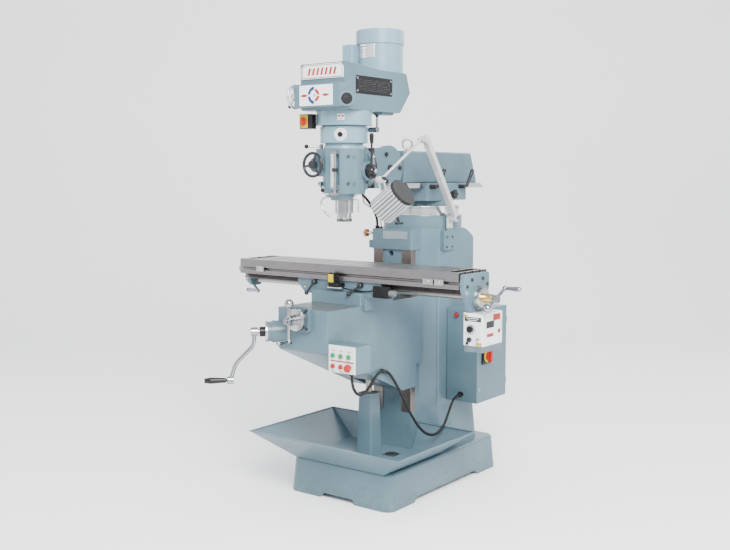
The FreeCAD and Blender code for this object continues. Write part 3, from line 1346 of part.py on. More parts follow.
def make_depth_stop():
    x = stop_rod_x
    y = stop_rod_y
    rod_solid = rod(Vector(x, y, 1486), Z, stop_rod_radius, 190)
    ears = []
    for z in (1664, 1500):
        ears.append(block(x - 12, x + 12, y - 10, housing_front_y, z, z + 12))
    screw = fuse(rod_solid, ears[0], ears[1])
    scale = block(x - 36, x - 16, housing_front_y - 3, housing_front_y, 1508, 1664)
    clamp = block(x - 17, x + 17, y - 16, y + 12, 1474, 1486)
    return [screw, scale, clamp]


def make_depth_nut():
    nut = rod(Vector(stop_rod_x, stop_rod_y, nut_z - 9), Z, 14, 18)
    return nut.cut(rod(Vector(stop_rod_x, stop_rod_y, nut_z - 10), Z, stop_rod_radius + run, 20))


def make_coolant_nozzle(housing):
    neck = bar(Vector(-50, -492, 1462), Vector(-64, -504, 1468), 8)
    pipe = tube("nozzle", [Vector(-62, -502, 1466), Vector(-86, -508, 1452), Vector(-88, -510, 1424),
                           Vector(-70, -506, 1398), Vector(-46, -502, 1372)], 5.0)
    manifold = block(64, 94, spindle_y - 14, spindle_y + 14, housing_bottom_z - 26, housing_bottom_z)
    feeler = rod(Vector(84, spindle_y, housing_bottom_z - 26), -Z, 3, 62)
    pieces = [fuse(neck, pipe).cut(housing), fuse(manifold, feeler).cut(housing)]
    return [max(piece.Solids, key=lambda s: s.Volume) for piece in pieces]


# ---------------------------------------------------------------- write the pieces
os.makedirs("parts", exist_ok=True)


def save(name, shape):
    """One STEP per node; a node of several pieces is a group of separate solids."""
    solids = shape if isinstance(shape, list) else [shape]
    solids = [s for piece in solids for s in (piece.Solids or [piece])]
    whole = solids[0] if len(solids) == 1 else Part.makeCompound(solids)
    whole.exportStep("parts/" + name + ".step")
    return whole


column = make_column_casting()
save("column_casting", column)
save("screw_pedestal", make_screw_pedestal())
save("chip_tray", make_chip_tray())
save("column_fittings", make_column_fittings())
save("valve_knob", make_valve_knob())
save("cabinet_body", make_cabinet_body())
save("cabinet_door", make_cabinet_door())
save("main_switch_knob", make_main_switch_knob())
save("lamp_bracket", make_lamp_bracket(column))
save("lamp_lower_arm", make_lamp_lower_arm())
save("lamp_upper_rod", make_lamp_upper_rod())
save("lamp_head", make_lamp_head())

knee = make_knee_casting()
save("knee_casting", knee)
save("knee_screw", make_knee_screw())
save("knee_brackets", make_knee_brackets(knee))
save("cross_crank", make_cross_crank())
save("knee_crank", make_knee_crank())
save("control_box", make_control_box())
for row, z in enumerate(button_rows):
    for column_index, x in enumerate(button_columns):
        if row == 1 and column_index == 2:
            save("stop_button", make_stop_button(x, z))
        else:
            save("button_" + ("green", "red")[row] + "_" + str(column_index + 1), make_push_button(x, z))
save("knee_conduit", tube("knee conduit", conduit_points(), conduit_radius))

save("saddle_casting", make_saddle_casting())
save("limit_switch", make_limit_switch())
save("table_lock_left", make_table_lock(-lever_x, -168, 1004))
save("table_lock_right", make_table_lock(lever_x, 88, 1016))

save("table_casting", make_table_casting())
save("table_end_brackets", make_table_end_brackets())
save("table_dogs", make_table_dogs())
save("table_screw", make_table_screw())
save("power_feed", make_power_feed())
save("power_feed_lever", make_power_feed_lever())

save("turret_casting", make_turret_casting())
save("ram_lock_front", make_ram_lock(70))
save("ram_lock_rear", make_ram_lock(345))
save("ram_pinion_knob", make_ram_pinion_knob())
save("ram_casting", make_ram_casting())
save("ram_knuckle", make_ram_knuckle())

quill_housing = make_quill_housing()
save("quill_housing", quill_housing)
save("gear_housing", make_gear_housing(quill_housing[0]))
save("belt_housing", make_belt_housing())
save("motor", make_motor())
save("switch_box", make_switch_box())
save("switch_knob", make_switch_knob())
save("speed_wheel", make_speed_wheel())
save("fine_feed_wheel", make_fine_feed_wheel())
save("hi_lo_lever", make_hi_lo_lever())
save("brake_lever", make_brake_lever())
save("trip_lever", make_trip_lever())
save("quill_lever", make_quill_lever())
save("quill", make_quill())
save("spindle", make_spindle())
save("depth_stop", make_depth_stop())
save("depth_nut", make_depth_nut())
save("coolant_nozzle", make_coolant_nozzle(quill_housing[0]))
save("head_conduit", tube("head conduit", head_conduit_points(), head_conduit_radius))
save("coolant_hose", tube("coolant hose", hose_points(), hose_radius))
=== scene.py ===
import json
import math

import bmesh
import bpy
from bpy.props import BoolProperty, FloatProperty, FloatVectorProperty, IntProperty
from mathutils import Matrix, Vector


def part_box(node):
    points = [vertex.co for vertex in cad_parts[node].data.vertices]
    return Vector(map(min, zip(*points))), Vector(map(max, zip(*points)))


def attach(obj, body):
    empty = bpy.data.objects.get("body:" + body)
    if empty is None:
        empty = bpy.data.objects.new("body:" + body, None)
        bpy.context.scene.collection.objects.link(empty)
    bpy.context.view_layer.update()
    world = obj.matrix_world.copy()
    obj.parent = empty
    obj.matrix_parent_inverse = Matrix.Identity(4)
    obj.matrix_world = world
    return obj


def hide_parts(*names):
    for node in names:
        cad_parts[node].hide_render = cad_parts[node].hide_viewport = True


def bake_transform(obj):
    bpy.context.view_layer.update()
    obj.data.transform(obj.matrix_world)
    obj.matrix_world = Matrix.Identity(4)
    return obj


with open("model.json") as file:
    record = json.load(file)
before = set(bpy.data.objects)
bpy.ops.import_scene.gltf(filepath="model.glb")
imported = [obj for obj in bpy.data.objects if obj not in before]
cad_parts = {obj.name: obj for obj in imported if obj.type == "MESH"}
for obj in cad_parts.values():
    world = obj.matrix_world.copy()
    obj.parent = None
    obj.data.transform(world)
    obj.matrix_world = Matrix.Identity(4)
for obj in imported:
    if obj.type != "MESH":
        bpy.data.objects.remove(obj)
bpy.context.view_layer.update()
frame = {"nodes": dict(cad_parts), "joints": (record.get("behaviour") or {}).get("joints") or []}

bl_info = {
    "name": "Turret Milling Machine",
    "version": (1, 0, 0),
    "blender": (4, 5, 0),
    "location": "View3D > Sidebar > Mill",
    "description": "Finishes and fittings of a floor-standing turret milling machine",
    "category": "Object",
}

MM = 0.001
X, Y, Z = (1, 0, 0), (0, 1, 0), (0, 0, 1)


# ------------------------------------------------------------------ places
def low(node):
    return Vector(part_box(node)[0])


def high(node):
    return Vector(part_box(node)[1])


def joint(name):
    return next(j for j in frame["joints"] if j["name"] == name)


SPINDLE = Vector(joint("spindle_spin")["pos_m"])
TILT = Vector(joint("head_tilt")["pos_m"])
KNEE_CRANK = Vector(joint("knee_crank_turn")["pos_m"])
DIAGONAL = Vector((-1, -1, 0)).normalized()
LAMP_AIM = Vector((-0.79, -0.03, -0.6)).normalized()
LAMP_CENTRE = Vector((0.322, -0.508, 1.444))
GEAR_CENTRE = Vector((0, SPINDLE.y, 1.753))
FEED_AXIS = Vector((0.5, -0.866, 0))
BOSS_CENTRE = Vector((0.128, -0.598, 1.908))
BOSS_AXIS = Vector((0.8, -0.6, 0))
MOTOR_CENTRE = Vector((0, -0.157, 0))
FEED_DIAL = (0.700, -0.446, 0.897)
DOOR_X = 0.385
SKIN = 0.0006

CAMERA_PLACE = (2.9377, -4.1667, 1.5614)
CAMERA_PITCH, CAMERA_AZIMUTH = 5.64, 37.08
WORLD_STRENGTH = 1.45
FLOOR_DEPTH, COVE_RADIUS, COVE_STEPS = 4.2, 2.4, 12


def grey(value):
    return (value, value, value)


def shade(colour, factor, lift=0.0):
    """The colour made darker or lighter, no brighter than white."""
    return tuple(min(1.0, c * factor + lift) for c in colour)


# ------------------------------------------------------------------ shader kit
class Wire:
    """One value in a material; arithmetic on it adds Math nodes."""

    def __init__(self, shader, socket):
        self.shader = shader
        self.socket = socket

    def maths(self, operation, *others, clamp=False):
        values = {0: self}
        for place, other in enumerate(others, 1):
            values[place] = other
        return self.shader.node("ShaderNodeMath", {"operation": operation, "use_clamp": clamp}, values)

    def __add__(self, other):
        return self.maths("ADD", other)

    def __sub__(self, other):
        return self.maths("SUBTRACT", other)

    def __mul__(self, other):
        return self.maths("MULTIPLY", other)

    def __rsub__(self, other):
        return self.shader.node("ShaderNodeMath", {"operation": "SUBTRACT"}, {0: other, 1: self})

    def __abs__(self):
        return self.maths("ABSOLUTE")

    __radd__ = __add__
    __rmul__ = __mul__

    def above(self, limit):
        return self.maths("GREATER_THAN", limit)

    def below(self, limit):
        return self.maths("LESS_THAN", limit)

    def between(self, start, end):
        return self.above(start) * self.below(end)

    def clamp(self):
        return self.maths("ADD", 0.0, clamp=True)

    def soften(self, start, end):
        """0 below start, 1 above end, smooth between them."""
        return self.shader.node("ShaderNodeMapRange", {"interpolation_type": "SMOOTHSTEP"},
            {"Value": self, "From Min": start, "From Max": end})


class Finish:
    """A material under construction."""

    def __init__(self, name):
        self.material = bpy.data.materials.new(name)
        self.material.use_nodes = True
        self.tree = self.material.node_tree
        self.tree.nodes.clear()
        self.place = self.node("ShaderNodeTexCoord", {}, {}, "Object")
        self.x, self.y, self.z = self.split(self.place)
        self.round = None

    def node(self, kind, settings=None, values=None, out=0):
        made = self.tree.nodes.new(kind)
        for key, value in (settings or {}).items():
            setattr(made, key, value)
        for key, value in (values or {}).items():
            socket = made.inputs[key]
            if isinstance(value, Wire):
                self.tree.links.new(value.socket, socket)
            elif isinstance(value, (tuple, list, Vector)) and socket.type == "RGBA":
                socket.default_value = (*value[:3], 1.0)
            else:
                socket.default_value = value
        return Wire(self, made.outputs[out])

    def vectors(self, operation, first, second=None, out=0):
        values = {0: first} if second is None else {0: first, 1: second}
        return self.node("ShaderNodeVectorMath", {"operation": operation}, values, out)

    def split(self, vector):
        made = self.tree.nodes.new("ShaderNodeSeparateXYZ")
        self.tree.links.new(vector.socket, made.inputs[0])
        return [Wire(self, made.outputs[i]) for i in range(3)]

    def along(self, origin, direction):
        """Distance from the origin along a direction, over the surface."""
        away = self.vectors("SUBTRACT", self.place, tuple(origin))
        return self.vectors("DOT_PRODUCT", away, tuple(direction), "Value")

    def away_from(self, origin, direction):
        """Distance from the line through the origin."""
        away = self.vectors("SUBTRACT", self.place, tuple(origin))
        cross = self.vectors("CROSS_PRODUCT", away, tuple(Vector(direction).normalized()))
        return self.vectors("LENGTH", cross, out="Value")

    def near(self, point, radius):
        return self.vectors("DISTANCE", self.place, tuple(point), "Value").below(radius)

    def inside(self, start, end):
        """1 inside the box from one corner to the other."""
        mask = None
        for value, a, b in zip((self.x, self.y, self.z), start, end):
            if a is None and b is None:
                continue
            part = value.between(a if a is not None else -9.0, b if b is not None else 9.0)
            mask = part if mask is None else mask * part
        return mask

    def noise(self, scale, detail=2.0, stretch=None, rough=0.5):
        place = self.place
        if stretch is not None:
            place = self.node("ShaderNodeMapping", {}, {"Vector": place, "Scale": stretch})
        return self.node("ShaderNodeTexNoise", {}, {"Vector": place, "Scale": scale, "Detail": detail,
            "Roughness": rough})

    def tint(self, factor, first, second):
        return self.node("ShaderNodeMix", {"data_type": "RGBA"}, {"Factor": factor, 6: first, 7: second}, 2)

    def mottled(self, factor, colour, darker, lighter):
        return self.tint(factor, shade(colour, darker), shade(colour, lighter))

    def softened(self, radius=0.0028):
        """Normal rounded over the edges, so that sharp corners catch the light."""
        if self.round is None:
            self.round = self.node("ShaderNodeBevel", {"samples": 6}, {"Radius": radius})
        return self.round

    def edge(self):
        plain = self.node("ShaderNodeNewGeometry", {}, {}, "Normal")
        dot = self.vectors("DOT_PRODUCT", self.softened(), plain, "Value")
        return ((1.0 - dot) * 5.0).clamp()

    def bump(self, height, distance, strength):
        return self.node("ShaderNodeBump", {}, {"Height": height, "Distance": distance,
            "Strength": strength, "Normal": self.softened()})

    def surface(self, **sockets):
        names = {"color": "Base Color", "rough": "Roughness", "metal": "Metallic", "normal": "Normal",
            "coat": "Coat Weight", "coat_rough": "Coat Roughness", "specular": "Specular IOR Level"}
        return self.node("ShaderNodeBsdfPrincipled", {}, {names[k]: v for k, v in sockets.items()})

    def over(self, mask, top, bottom):
        return self.node("ShaderNodeMixShader", {}, {0: mask, 1: bottom, 2: top})

    def done(self, look, *layers):
        """Lays each (mask, look) over the first look and ends the material."""
        for mask, layer in layers:
            look = self.over(mask, layer, look)
        output = self.tree.nodes.new("ShaderNodeOutputMaterial")
        self.tree.links.new(look.socket, output.inputs["Surface"])
        return self.material

    def paint(self, node, look, *layers):
        """Ends the material and gives it to a CAD node."""
        paint_node(node, self.done(look, *layers))


# ------------------------------------------------------------------ finishes
def settings():
    return bpy.context.scene.mill


def casting_paint(f, colour=None, rough=0.30):
    """Blue-grey enamel over filled castings, with orange peel and worn edges."""
    colour = colour or tuple(settings().paint)
    broad = f.noise(2.6, 3.0)
    fine = f.noise(48.0, 4.0)
    tone = f.mottled(broad.soften(0.35, 0.68), colour, 0.86, 1.10)
    tone = f.tint(fine.soften(0.45, 0.75) * 0.18, tone, shade(colour, 0.8))
    speck = f.noise(420.0, 2.0).soften(0.70, 0.80)
    tone = f.tint(speck * 0.25, tone, shade(colour, 0.62))
    # Darker in noisy patches over the lowest 0.16 m, towards the floor.
    low_darkening = (1.0 - f.z.soften(0.0, 0.16)) * fine.soften(0.40, 0.70)
    tone = f.tint(low_darkening * 0.30, tone, (0.05, 0.05, 0.045))
    tone = f.tint(f.edge() * 0.42, tone, shade(colour, 1.5, 0.05))
    peel = f.noise(260.0, 2.0) * 0.5 + f.noise(26.0, 3.0) * 1.6
    return f.surface(color=tone, rough=fine * 0.14 + (rough - 0.05), coat=0.12, coat_rough=0.16,
        specular=0.28, normal=f.bump(peel, 0.00045, 0.55))


def sheet_paint(f, colour=None):
    """The same enamel on flat sheet, smoother and a little glossier."""
    colour = colour or tuple(settings().paint)
    broad = f.noise(3.4, 2.0)
    tone = f.mottled(broad.soften(0.3, 0.7), colour, 0.91, 1.08)
    scuff = f.noise(90.0, 5.0, (1, 1, 5)).soften(0.62, 0.76)
    tone = f.tint(scuff * 0.05, tone, shade(colour, 0.7))
    tone = f.tint(f.edge() * 0.40, tone, shade(colour, 1.35, 0.03))
    return f.surface(color=tone, rough=f.noise(30.0, 3.0) * 0.14 + 0.26, coat=0.09, coat_rough=0.12,
        specular=0.28, normal=f.bump(f.noise(180.0, 1.0) + f.noise(7.0, 2.0) * 5.0, 0.0003, 0.5))


def ground_steel(f, colour=(0.19, 0.178, 0.178), grain=(4, 220, 220)):
    """Surface-ground steel with its grain in one direction and a thin film of oil."""
    lines = f.noise(9.0, 3.0, grain)
    patch = f.noise(6.0, 4.0)
    tone = f.mottled(lines.soften(0.3, 0.7), colour, 0.80, 1.18)
    tone = f.tint(patch.soften(0.52, 0.78) * 0.35, tone, (0.12, 0.095, 0.08))
    tone = f.tint(f.edge() * 0.5, tone, (0.52, 0.51, 0.50))
    return f.surface(color=tone, metal=0.88, rough=lines * 0.18 + patch * 0.12 + 0.16,
        normal=f.bump(lines, 0.00012, 0.5))


def turned_steel(f, direction=Z, colour=grey(0.30), rough=0.20):
    """Bright turned steel with fine rings round its axis."""
    grain = tuple(600.0 if abs(d) > 0.6 else 6.0 for d in direction)
    rings = f.noise(1.0, 2.0, grain)
    tone = f.mottled(rings.soften(0.3, 0.7), colour, 0.84, 1.15)
    tone = f.tint(f.noise(18.0, 3.0).soften(0.55, 0.8) * 0.25, tone, shade(colour, 0.55))
    return f.surface(color=tone, metal=1.0, rough=rings * 0.10 + rough, normal=f.bump(rings, 0.00008, 0.4))


def chrome(f):
    haze = f.noise(60.0, 4.0)
    tone = f.tint(haze.soften(0.5, 0.8) * 0.3, (0.30, 0.31, 0.33), (0.14, 0.14, 0.15))
    return f.surface(color=tone, metal=1.0, rough=haze * 0.10 + 0.06, normal=f.bump(haze, 0.00005, 0.3))


def black_steel(f):
    """Oil-blackened screws and nuts."""
    grain = f.noise(300.0, 2.0)
    tone = f.tint(f.edge() * 0.6, (0.018, 0.018, 0.020), grey(0.10))
    return f.surface(color=tone, metal=0.55, rough=grain * 0.2 + 0.26, normal=f.bump(grain, 0.0001, 0.4))


def deep(colour):
    """Strong colours are laid darker, so that they stay strong in bright light."""
    strong = max(colour) - min(colour) > 0.2
    return tuple(c * (0.5 if strong else 1.0) for c in colour)


def moulded(f, colour=(0.008, 0.008, 0.009), rough=0.26, coat=0.2):
    """Moulded plastic with a faint texture and lighter worn corners."""
    colour = deep(colour)
    grain = f.noise(500.0, 1.0)
    tone = f.mottled(f.noise(14.0, 2.0).soften(0.3, 0.7), colour, 0.88, 1.1)
    tone = f.tint(f.edge() * 0.35, tone, shade(colour, 1.3, 0.04))
    return f.surface(color=tone, rough=grain * 0.12 + rough, coat=coat * 0.5, coat_rough=0.1, specular=0.13,
        normal=f.bump(grain, 0.0001, 0.35))


def printed(f, colour, rough=0.32):
    colour = deep(colour)
    grain = f.noise(120.0, 3.0)
    tone = f.tint(grain.soften(0.4, 0.8) * 0.2, colour, shade(colour, 0.8))
    return f.surface(color=tone, rough=grain * 0.1 + rough, coat=0.1, coat_rough=0.08, specular=0.2,
        normal=f.bump(f.noise(40.0, 2.0), 0.0001, 0.25))


def brushed_alloy(f, colour=(0.66, 0.67, 0.69), grain=(200, 4, 200)):
    lines = f.noise(6.0, 2.0, grain)
    tone = f.mottled(lines.soften(0.3, 0.7), colour, 0.86, 1.12)
    return f.surface(color=tone, metal=0.85, rough=lines * 0.14 + 0.26, normal=f.bump(lines, 0.0001, 0.4))


def copper(f):
    cast = f.noise(140.0, 3.0)
    tone = f.tint(cast.soften(0.4, 0.75), (0.60, 0.27, 0.16), (0.30, 0.12, 0.07))
    tone = f.tint(f.edge() * 0.5, tone, (0.86, 0.50, 0.36))
    return f.surface(color=tone, metal=0.9, rough=cast * 0.2 + 0.28, normal=f.bump(cast, 0.0005, 0.6))


def simple(name, look, *args):
    f = Finish(name)
    return f.done(look(f, *args))


# ------------------------------------------------------------------ mesh kit
def keep(mesh_object, body):
    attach(mesh_object, body)
    return mesh_object


def from_bmesh(name, bm, material, smooth=False):
    bmesh.ops.recalc_face_normals(bm, faces=bm.faces[:])
    mesh = bpy.data.meshes.new(name)
    bm.to_mesh(mesh)
    bm.free()
    mesh.materials.append(material)
    if smooth:
        mesh.shade_smooth()
        mesh.set_sharp_from_angle(angle=math.radians(34))
    made = bpy.data.objects.new(name, mesh)
    bpy.context.scene.collection.objects.link(made)
    return made


def rounded_outline(width, height, radius, steps=6):
    """Outline of a plate about its centre, with round corners."""
    points = []
    for i, (sx, sy) in enumerate(((1, 1), (-1, 1), (-1, -1), (1, -1))):
        centre = ((width / 2 - radius) * sx, (height / 2 - radius) * sy)
        for k in range(steps + 1):
            angle = math.radians(90 * i + 90 * k / steps)
            points.append((centre[0] + radius * math.cos(angle), centre[1] + radius * math.sin(angle)))
    return points


def band_outline(inner, outer, start, end, steps=40):
    """Outline of part of a ring, angles in degrees."""
    points = []
    for radius, order in ((outer, range(steps + 1)), (inner, range(steps, -1, -1))):
        for k in order:
            angle = math.radians(start + (end - start) * k / steps)
            points.append((radius * math.cos(angle), radius * math.sin(angle)))
    return points


def slab(bm, outline, centre, right, up, thickness):
    """Adds a thin plate standing on a surface; right and up span the surface."""
    right = Vector(right).normalized()
    up = Vector(up).normalized()
    out = right.cross(up)
    lower = [bm.verts.new(Vector(centre) + right * u + up * v) for u, v in outline]
    face = bm.faces.new(lower)
    made = bmesh.ops.extrude_face_region(bm, geom=[face])
    top = [v for v in made["geom"] if isinstance(v, bmesh.types.BMVert)]
    bmesh.ops.translate(bm, verts=top, vec=out * thickness)


def plates(name, material, body, pieces):
    """One object of thin plates: each is (outline, centre, right, up, thickness)."""
    bm = bmesh.new()
    for outline, centre, right, up, thickness in pieces:
        slab(bm, outline, centre, right, up, thickness)
    return keep(from_bmesh(name, bm, material), body)


def bars(width, height):
    return [(width / 2, height / 2), (-width / 2, height / 2), (-width / 2, -height / 2),
        (width / 2, -height / 2)]


def lathe(name, material, body, profile, origin, axis, steps=56):
    """Turned piece: profile is (distance along the axis, radius)."""
    axis = Vector(axis).normalized()
    side = axis.orthogonal().normalized()
    other = axis.cross(side)
    bm = bmesh.new()
    rings = []
    for height, radius in profile:
        centre = Vector(origin) + axis * height
        if radius <= 0:
            rings.append([bm.verts.new(centre)])
            continue
        ring = []
        for k in range(steps):
            angle = 2 * math.pi * k / steps
            ring.append(bm.verts.new(centre + (side * math.cos(angle) + other * math.sin(angle)) * radius))
        rings.append(ring)
    for first, second in zip(rings, rings[1:]):
        for k in range(steps):
            n = (k + 1) % steps
            if len(first) == 1 and len(second) == 1:
                continue
            if len(first) == 1:
                bm.faces.new((first[0], second[k], second[n]))
            elif len(second) == 1:
                bm.faces.new((first[k], second[0], first[n]))
            else:
                bm.faces.new((first[k], second[k], second[n], first[n]))
    return keep(from_bmesh(name, bm, material, True), body)


# ------------------------------------------------------------------ geometry node kit
class Tree:
    """A Geometry Nodes group under construction."""

    def __init__(self, name, inputs, takes_mesh=False):
        self.group = bpy.data.node_groups.new(name, "GeometryNodeTree")
        if takes_mesh:
            self.group.interface.new_socket("Geometry", in_out="INPUT", socket_type="NodeSocketGeometry")
        for label, kind, default in inputs:
            socket = self.group.interface.new_socket(label, in_out="INPUT", socket_type="NodeSocket" + kind)
            if default is not None:
                socket.default_value = default
        self.group.interface.new_socket("Geometry", in_out="OUTPUT", socket_type="NodeSocketGeometry")
        self.start = self.group.nodes.new("NodeGroupInput")

    def input(self, label):
        return self.start.outputs[label]

    def node(self, kind, settings=None, values=None, out=0):
        made = self.group.nodes.new(kind)
        for key, value in (settings or {}).items():
            setattr(made, key, value)
        for key, value in (values or {}).items():
            if isinstance(value, bpy.types.NodeSocket):
                self.group.links.new(value, made.inputs[key])
            else:
                made.inputs[key].default_value = value
        return made.outputs[out]

    def maths(self, operation, *inputs):
        return self.node("ShaderNodeMath", {"operation": operation}, dict(enumerate(inputs)))

    def end(self, geometry):
        real = self.node("GeometryNodeRealizeInstances", {}, {0: geometry})
        done = self.node("GeometryNodeSetMaterial", {}, {0: real, "Material": self.input("Material")})
        finish = self.group.nodes.new("NodeGroupOutput")
        self.group.links.new(done, finish.inputs[0])
        return self.group


def dial_marks_tree():
    """Marks round a circle, every fifth one longer."""
    tree = Tree("Dial marks", [("Count", "Int", 40), ("Radius", "Float", 0.05), ("Length", "Float", 0.004),
        ("Width", "Float", 0.0006), ("Thickness", "Float", 0.0004), ("Long", "Int", 5),
        ("Facing", "Bool", False), ("Material", "Material", None)])
    circle = tree.node("GeometryNodeMeshCircle", {}, {"Vertices": tree.input("Count"),
        "Radius": tree.input("Radius")})
    place = tree.node("GeometryNodeInputPosition")
    index = tree.node("GeometryNodeInputIndex")
    turn = tree.node("FunctionNodeAlignRotationToVector", {"axis": "X"}, {"Vector": place})
    rest = tree.maths("MODULO", index, tree.input("Long"))
    major = tree.maths("LESS_THAN", rest, 0.5)
    grow = tree.maths("MULTIPLY_ADD", major, 0.7, 1.0)
    flat = tree.node("ShaderNodeCombineXYZ", {}, {0: tree.input("Length"), 1: tree.input("Width"),
        2: tree.input("Thickness")})
    standing = tree.node("ShaderNodeCombineXYZ", {}, {0: tree.input("Thickness"), 1: tree.input("Width"),
        2: tree.input("Length")})
    size = tree.node("GeometryNodeSwitch", {"input_type": "VECTOR"},
        {0: tree.input("Facing"), 1: standing, 2: flat})
    scale_up = tree.node("ShaderNodeCombineXYZ", {}, {0: 1.0, 1: 1.0, 2: grow})
    scale_out = tree.node("ShaderNodeCombineXYZ", {}, {0: grow, 1: 1.0, 2: 1.0})
    scale = tree.node("GeometryNodeSwitch", {"input_type": "VECTOR"},
        {0: tree.input("Facing"), 1: scale_up, 2: scale_out})
    box = tree.node("GeometryNodeMeshCube", {}, {"Size": size})
    marks = tree.node("GeometryNodeInstanceOnPoints", {},
        {"Points": circle, "Instance": box, "Rotation": turn, "Scale": scale})
    return tree.end(marks)


def row_marks_tree():
    """Marks in a straight row, every tenth one longer."""
    tree = Tree("Row marks", [("Count", "Int", 20), ("Start", "Vector", None), ("Step", "Vector", None),
        ("Size", "Vector", None), ("Longer", "Vector", None), ("Long", "Int", 10),
        ("Material", "Material", None)])
    line = tree.node("GeometryNodeMeshLine", {}, {"Count": tree.input("Count"),
        "Start Location": tree.input("Start"), "Offset": tree.input("Step")})
    index = tree.node("GeometryNodeInputIndex")
    rest = tree.maths("MODULO", index, tree.input("Long"))
    major = tree.maths("LESS_THAN", rest, 0.5)
    scale = tree.node("ShaderNodeMix", {"data_type": "VECTOR"},
        {0: major, 4: (1, 1, 1), 5: tree.input("Longer")}, 1)
    box = tree.node("GeometryNodeMeshCube", {}, {"Size": tree.input("Size")})
    marks = tree.node("GeometryNodeInstanceOnPoints", {}, {"Points": line, "Instance": box, "Scale": scale})
    return tree.end(marks)


def hose_ribs_tree():
    """Spiral-look ribs swept along a hose's own line."""
    tree = Tree("Hose ribs", [("Pitch", "Float", 0.004), ("Radius", "Float", 0.006), ("Rib", "Float", 1.12),
        ("Material", "Material", None)], True)
    spacing = tree.maths("DIVIDE", tree.input("Pitch"), 4.0)
    line = tree.node("GeometryNodeResampleCurve", {"mode": "LENGTH"},
        {"Curve": tree.start.outputs[0], "Length": spacing})
    index = tree.node("GeometryNodeInputIndex")
    rest = tree.maths("MODULO", index, 4.0)
    crest = tree.maths("LESS_THAN", rest, 1.5)
    swell = tree.maths("SUBTRACT", tree.input("Rib"), 1.0)
    width = tree.maths("MULTIPLY_ADD", crest, swell, 1.0)
    profile = tree.node("GeometryNodeCurvePrimitiveCircle", {},
        {"Resolution": 14, "Radius": tree.input("Radius")})
    sweep = tree.group.nodes.new("GeometryNodeCurveToMesh")
    tree.group.links.new(line, sweep.inputs["Curve"])
    tree.group.links.new(profile, sweep.inputs["Profile Curve"])
    sweep.inputs["Fill Caps"].default_value = True
    tree.group.links.new(width, sweep.inputs["Scale"])
    return tree.end(sweep.outputs[0])


def grown(name, group, values, source=None, smooth=False):
    """The tree's result as a plain mesh object."""
    carrier = source
    if carrier is None:
        carrier = bpy.data.objects.new(name + "_carrier", bpy.data.meshes.new(name + "_carrier"))
        bpy.context.scene.collection.objects.link(carrier)
    modifier = carrier.modifiers.new("Made", "NODES")
    modifier.node_group = group
    for item in group.interface.items_tree:
        if item.item_type == "SOCKET" and item.in_out == "INPUT" and item.name in values:
            modifier[item.identifier] = values[item.name]
    carrier.update_tag()
    bpy.context.view_layer.update()
    seen = carrier.evaluated_get(bpy.context.evaluated_depsgraph_get())
    mesh = bpy.data.meshes.new_from_object(seen)
    carrier.modifiers.remove(modifier)
    bpy.data.objects.remove(carrier)
    if smooth:
        mesh.shade_smooth()
    mesh.name = name
    made = bpy.data.objects.new(name, mesh)
    bpy.context.scene.collection.objects.link(made)
    return made


def place_ring(made, origin, axis):
    """Turns a ring made about +Z onto its axis, in its mesh."""
    turn = Vector(Z).rotation_difference(Vector(axis)).to_matrix().to_4x4()
    made.data.transform(Matrix.Translation(Vector(origin)) @ turn)
    return made


def paint_node(node, material):
    """Gives a CAD node's faces one material."""
    target = frame["nodes"][node]
    if not target.material_slots:
        target.data.materials.append(material)
    for slot in target.material_slots:
        slot.material = material


def plain(node, name, look, *args):
    paint_node(node, simple(name, look, *args))


# ------------------------------------------------------------------ user's settings
class MillSettings(bpy.types.PropertyGroup):
    paint: FloatVectorProperty(name="Enamel", description="Colour of the painted castings", subtype="COLOR",
        default=(0.080, 0.136, 0.168), min=0, max=1)
    floor: FloatVectorProperty(name="Floor", description="Colour of the studio floor", subtype="COLOR",
        default=(0.97, 0.97, 0.97), min=0, max=1)
    key_power: FloatProperty(name="Key light", description="Power of the main light", default=880.0, min=0,
        unit="POWER")
    fill_power: FloatProperty(name="Fill light", description="Power of the fill light", default=100.0,
        min=0, unit="POWER")
    lens: FloatProperty(name="Lens", description="Focal length of the camera", default=49.3, min=10,
        max=200, unit="CAMERA")
    ring_marks: IntProperty(name="Turret marks", description="Marks round the turret ring", default=180,
        min=12)
    hose_pitch: FloatProperty(name="Hose rib pitch", description="Distance from rib to rib", default=0.0042,
        min=0.001, unit="LENGTH")
    show_marks: BoolProperty(name="Dial marks", description="Engrave the dials and scales", default=True)


# ------------------------------------------------------------------ operators
class PieceOperator:
    bl_options = {"REGISTER", "UNDO"}

    def execute(self, context):
        self.make(context.scene.mill)
        return {"FINISHED"}


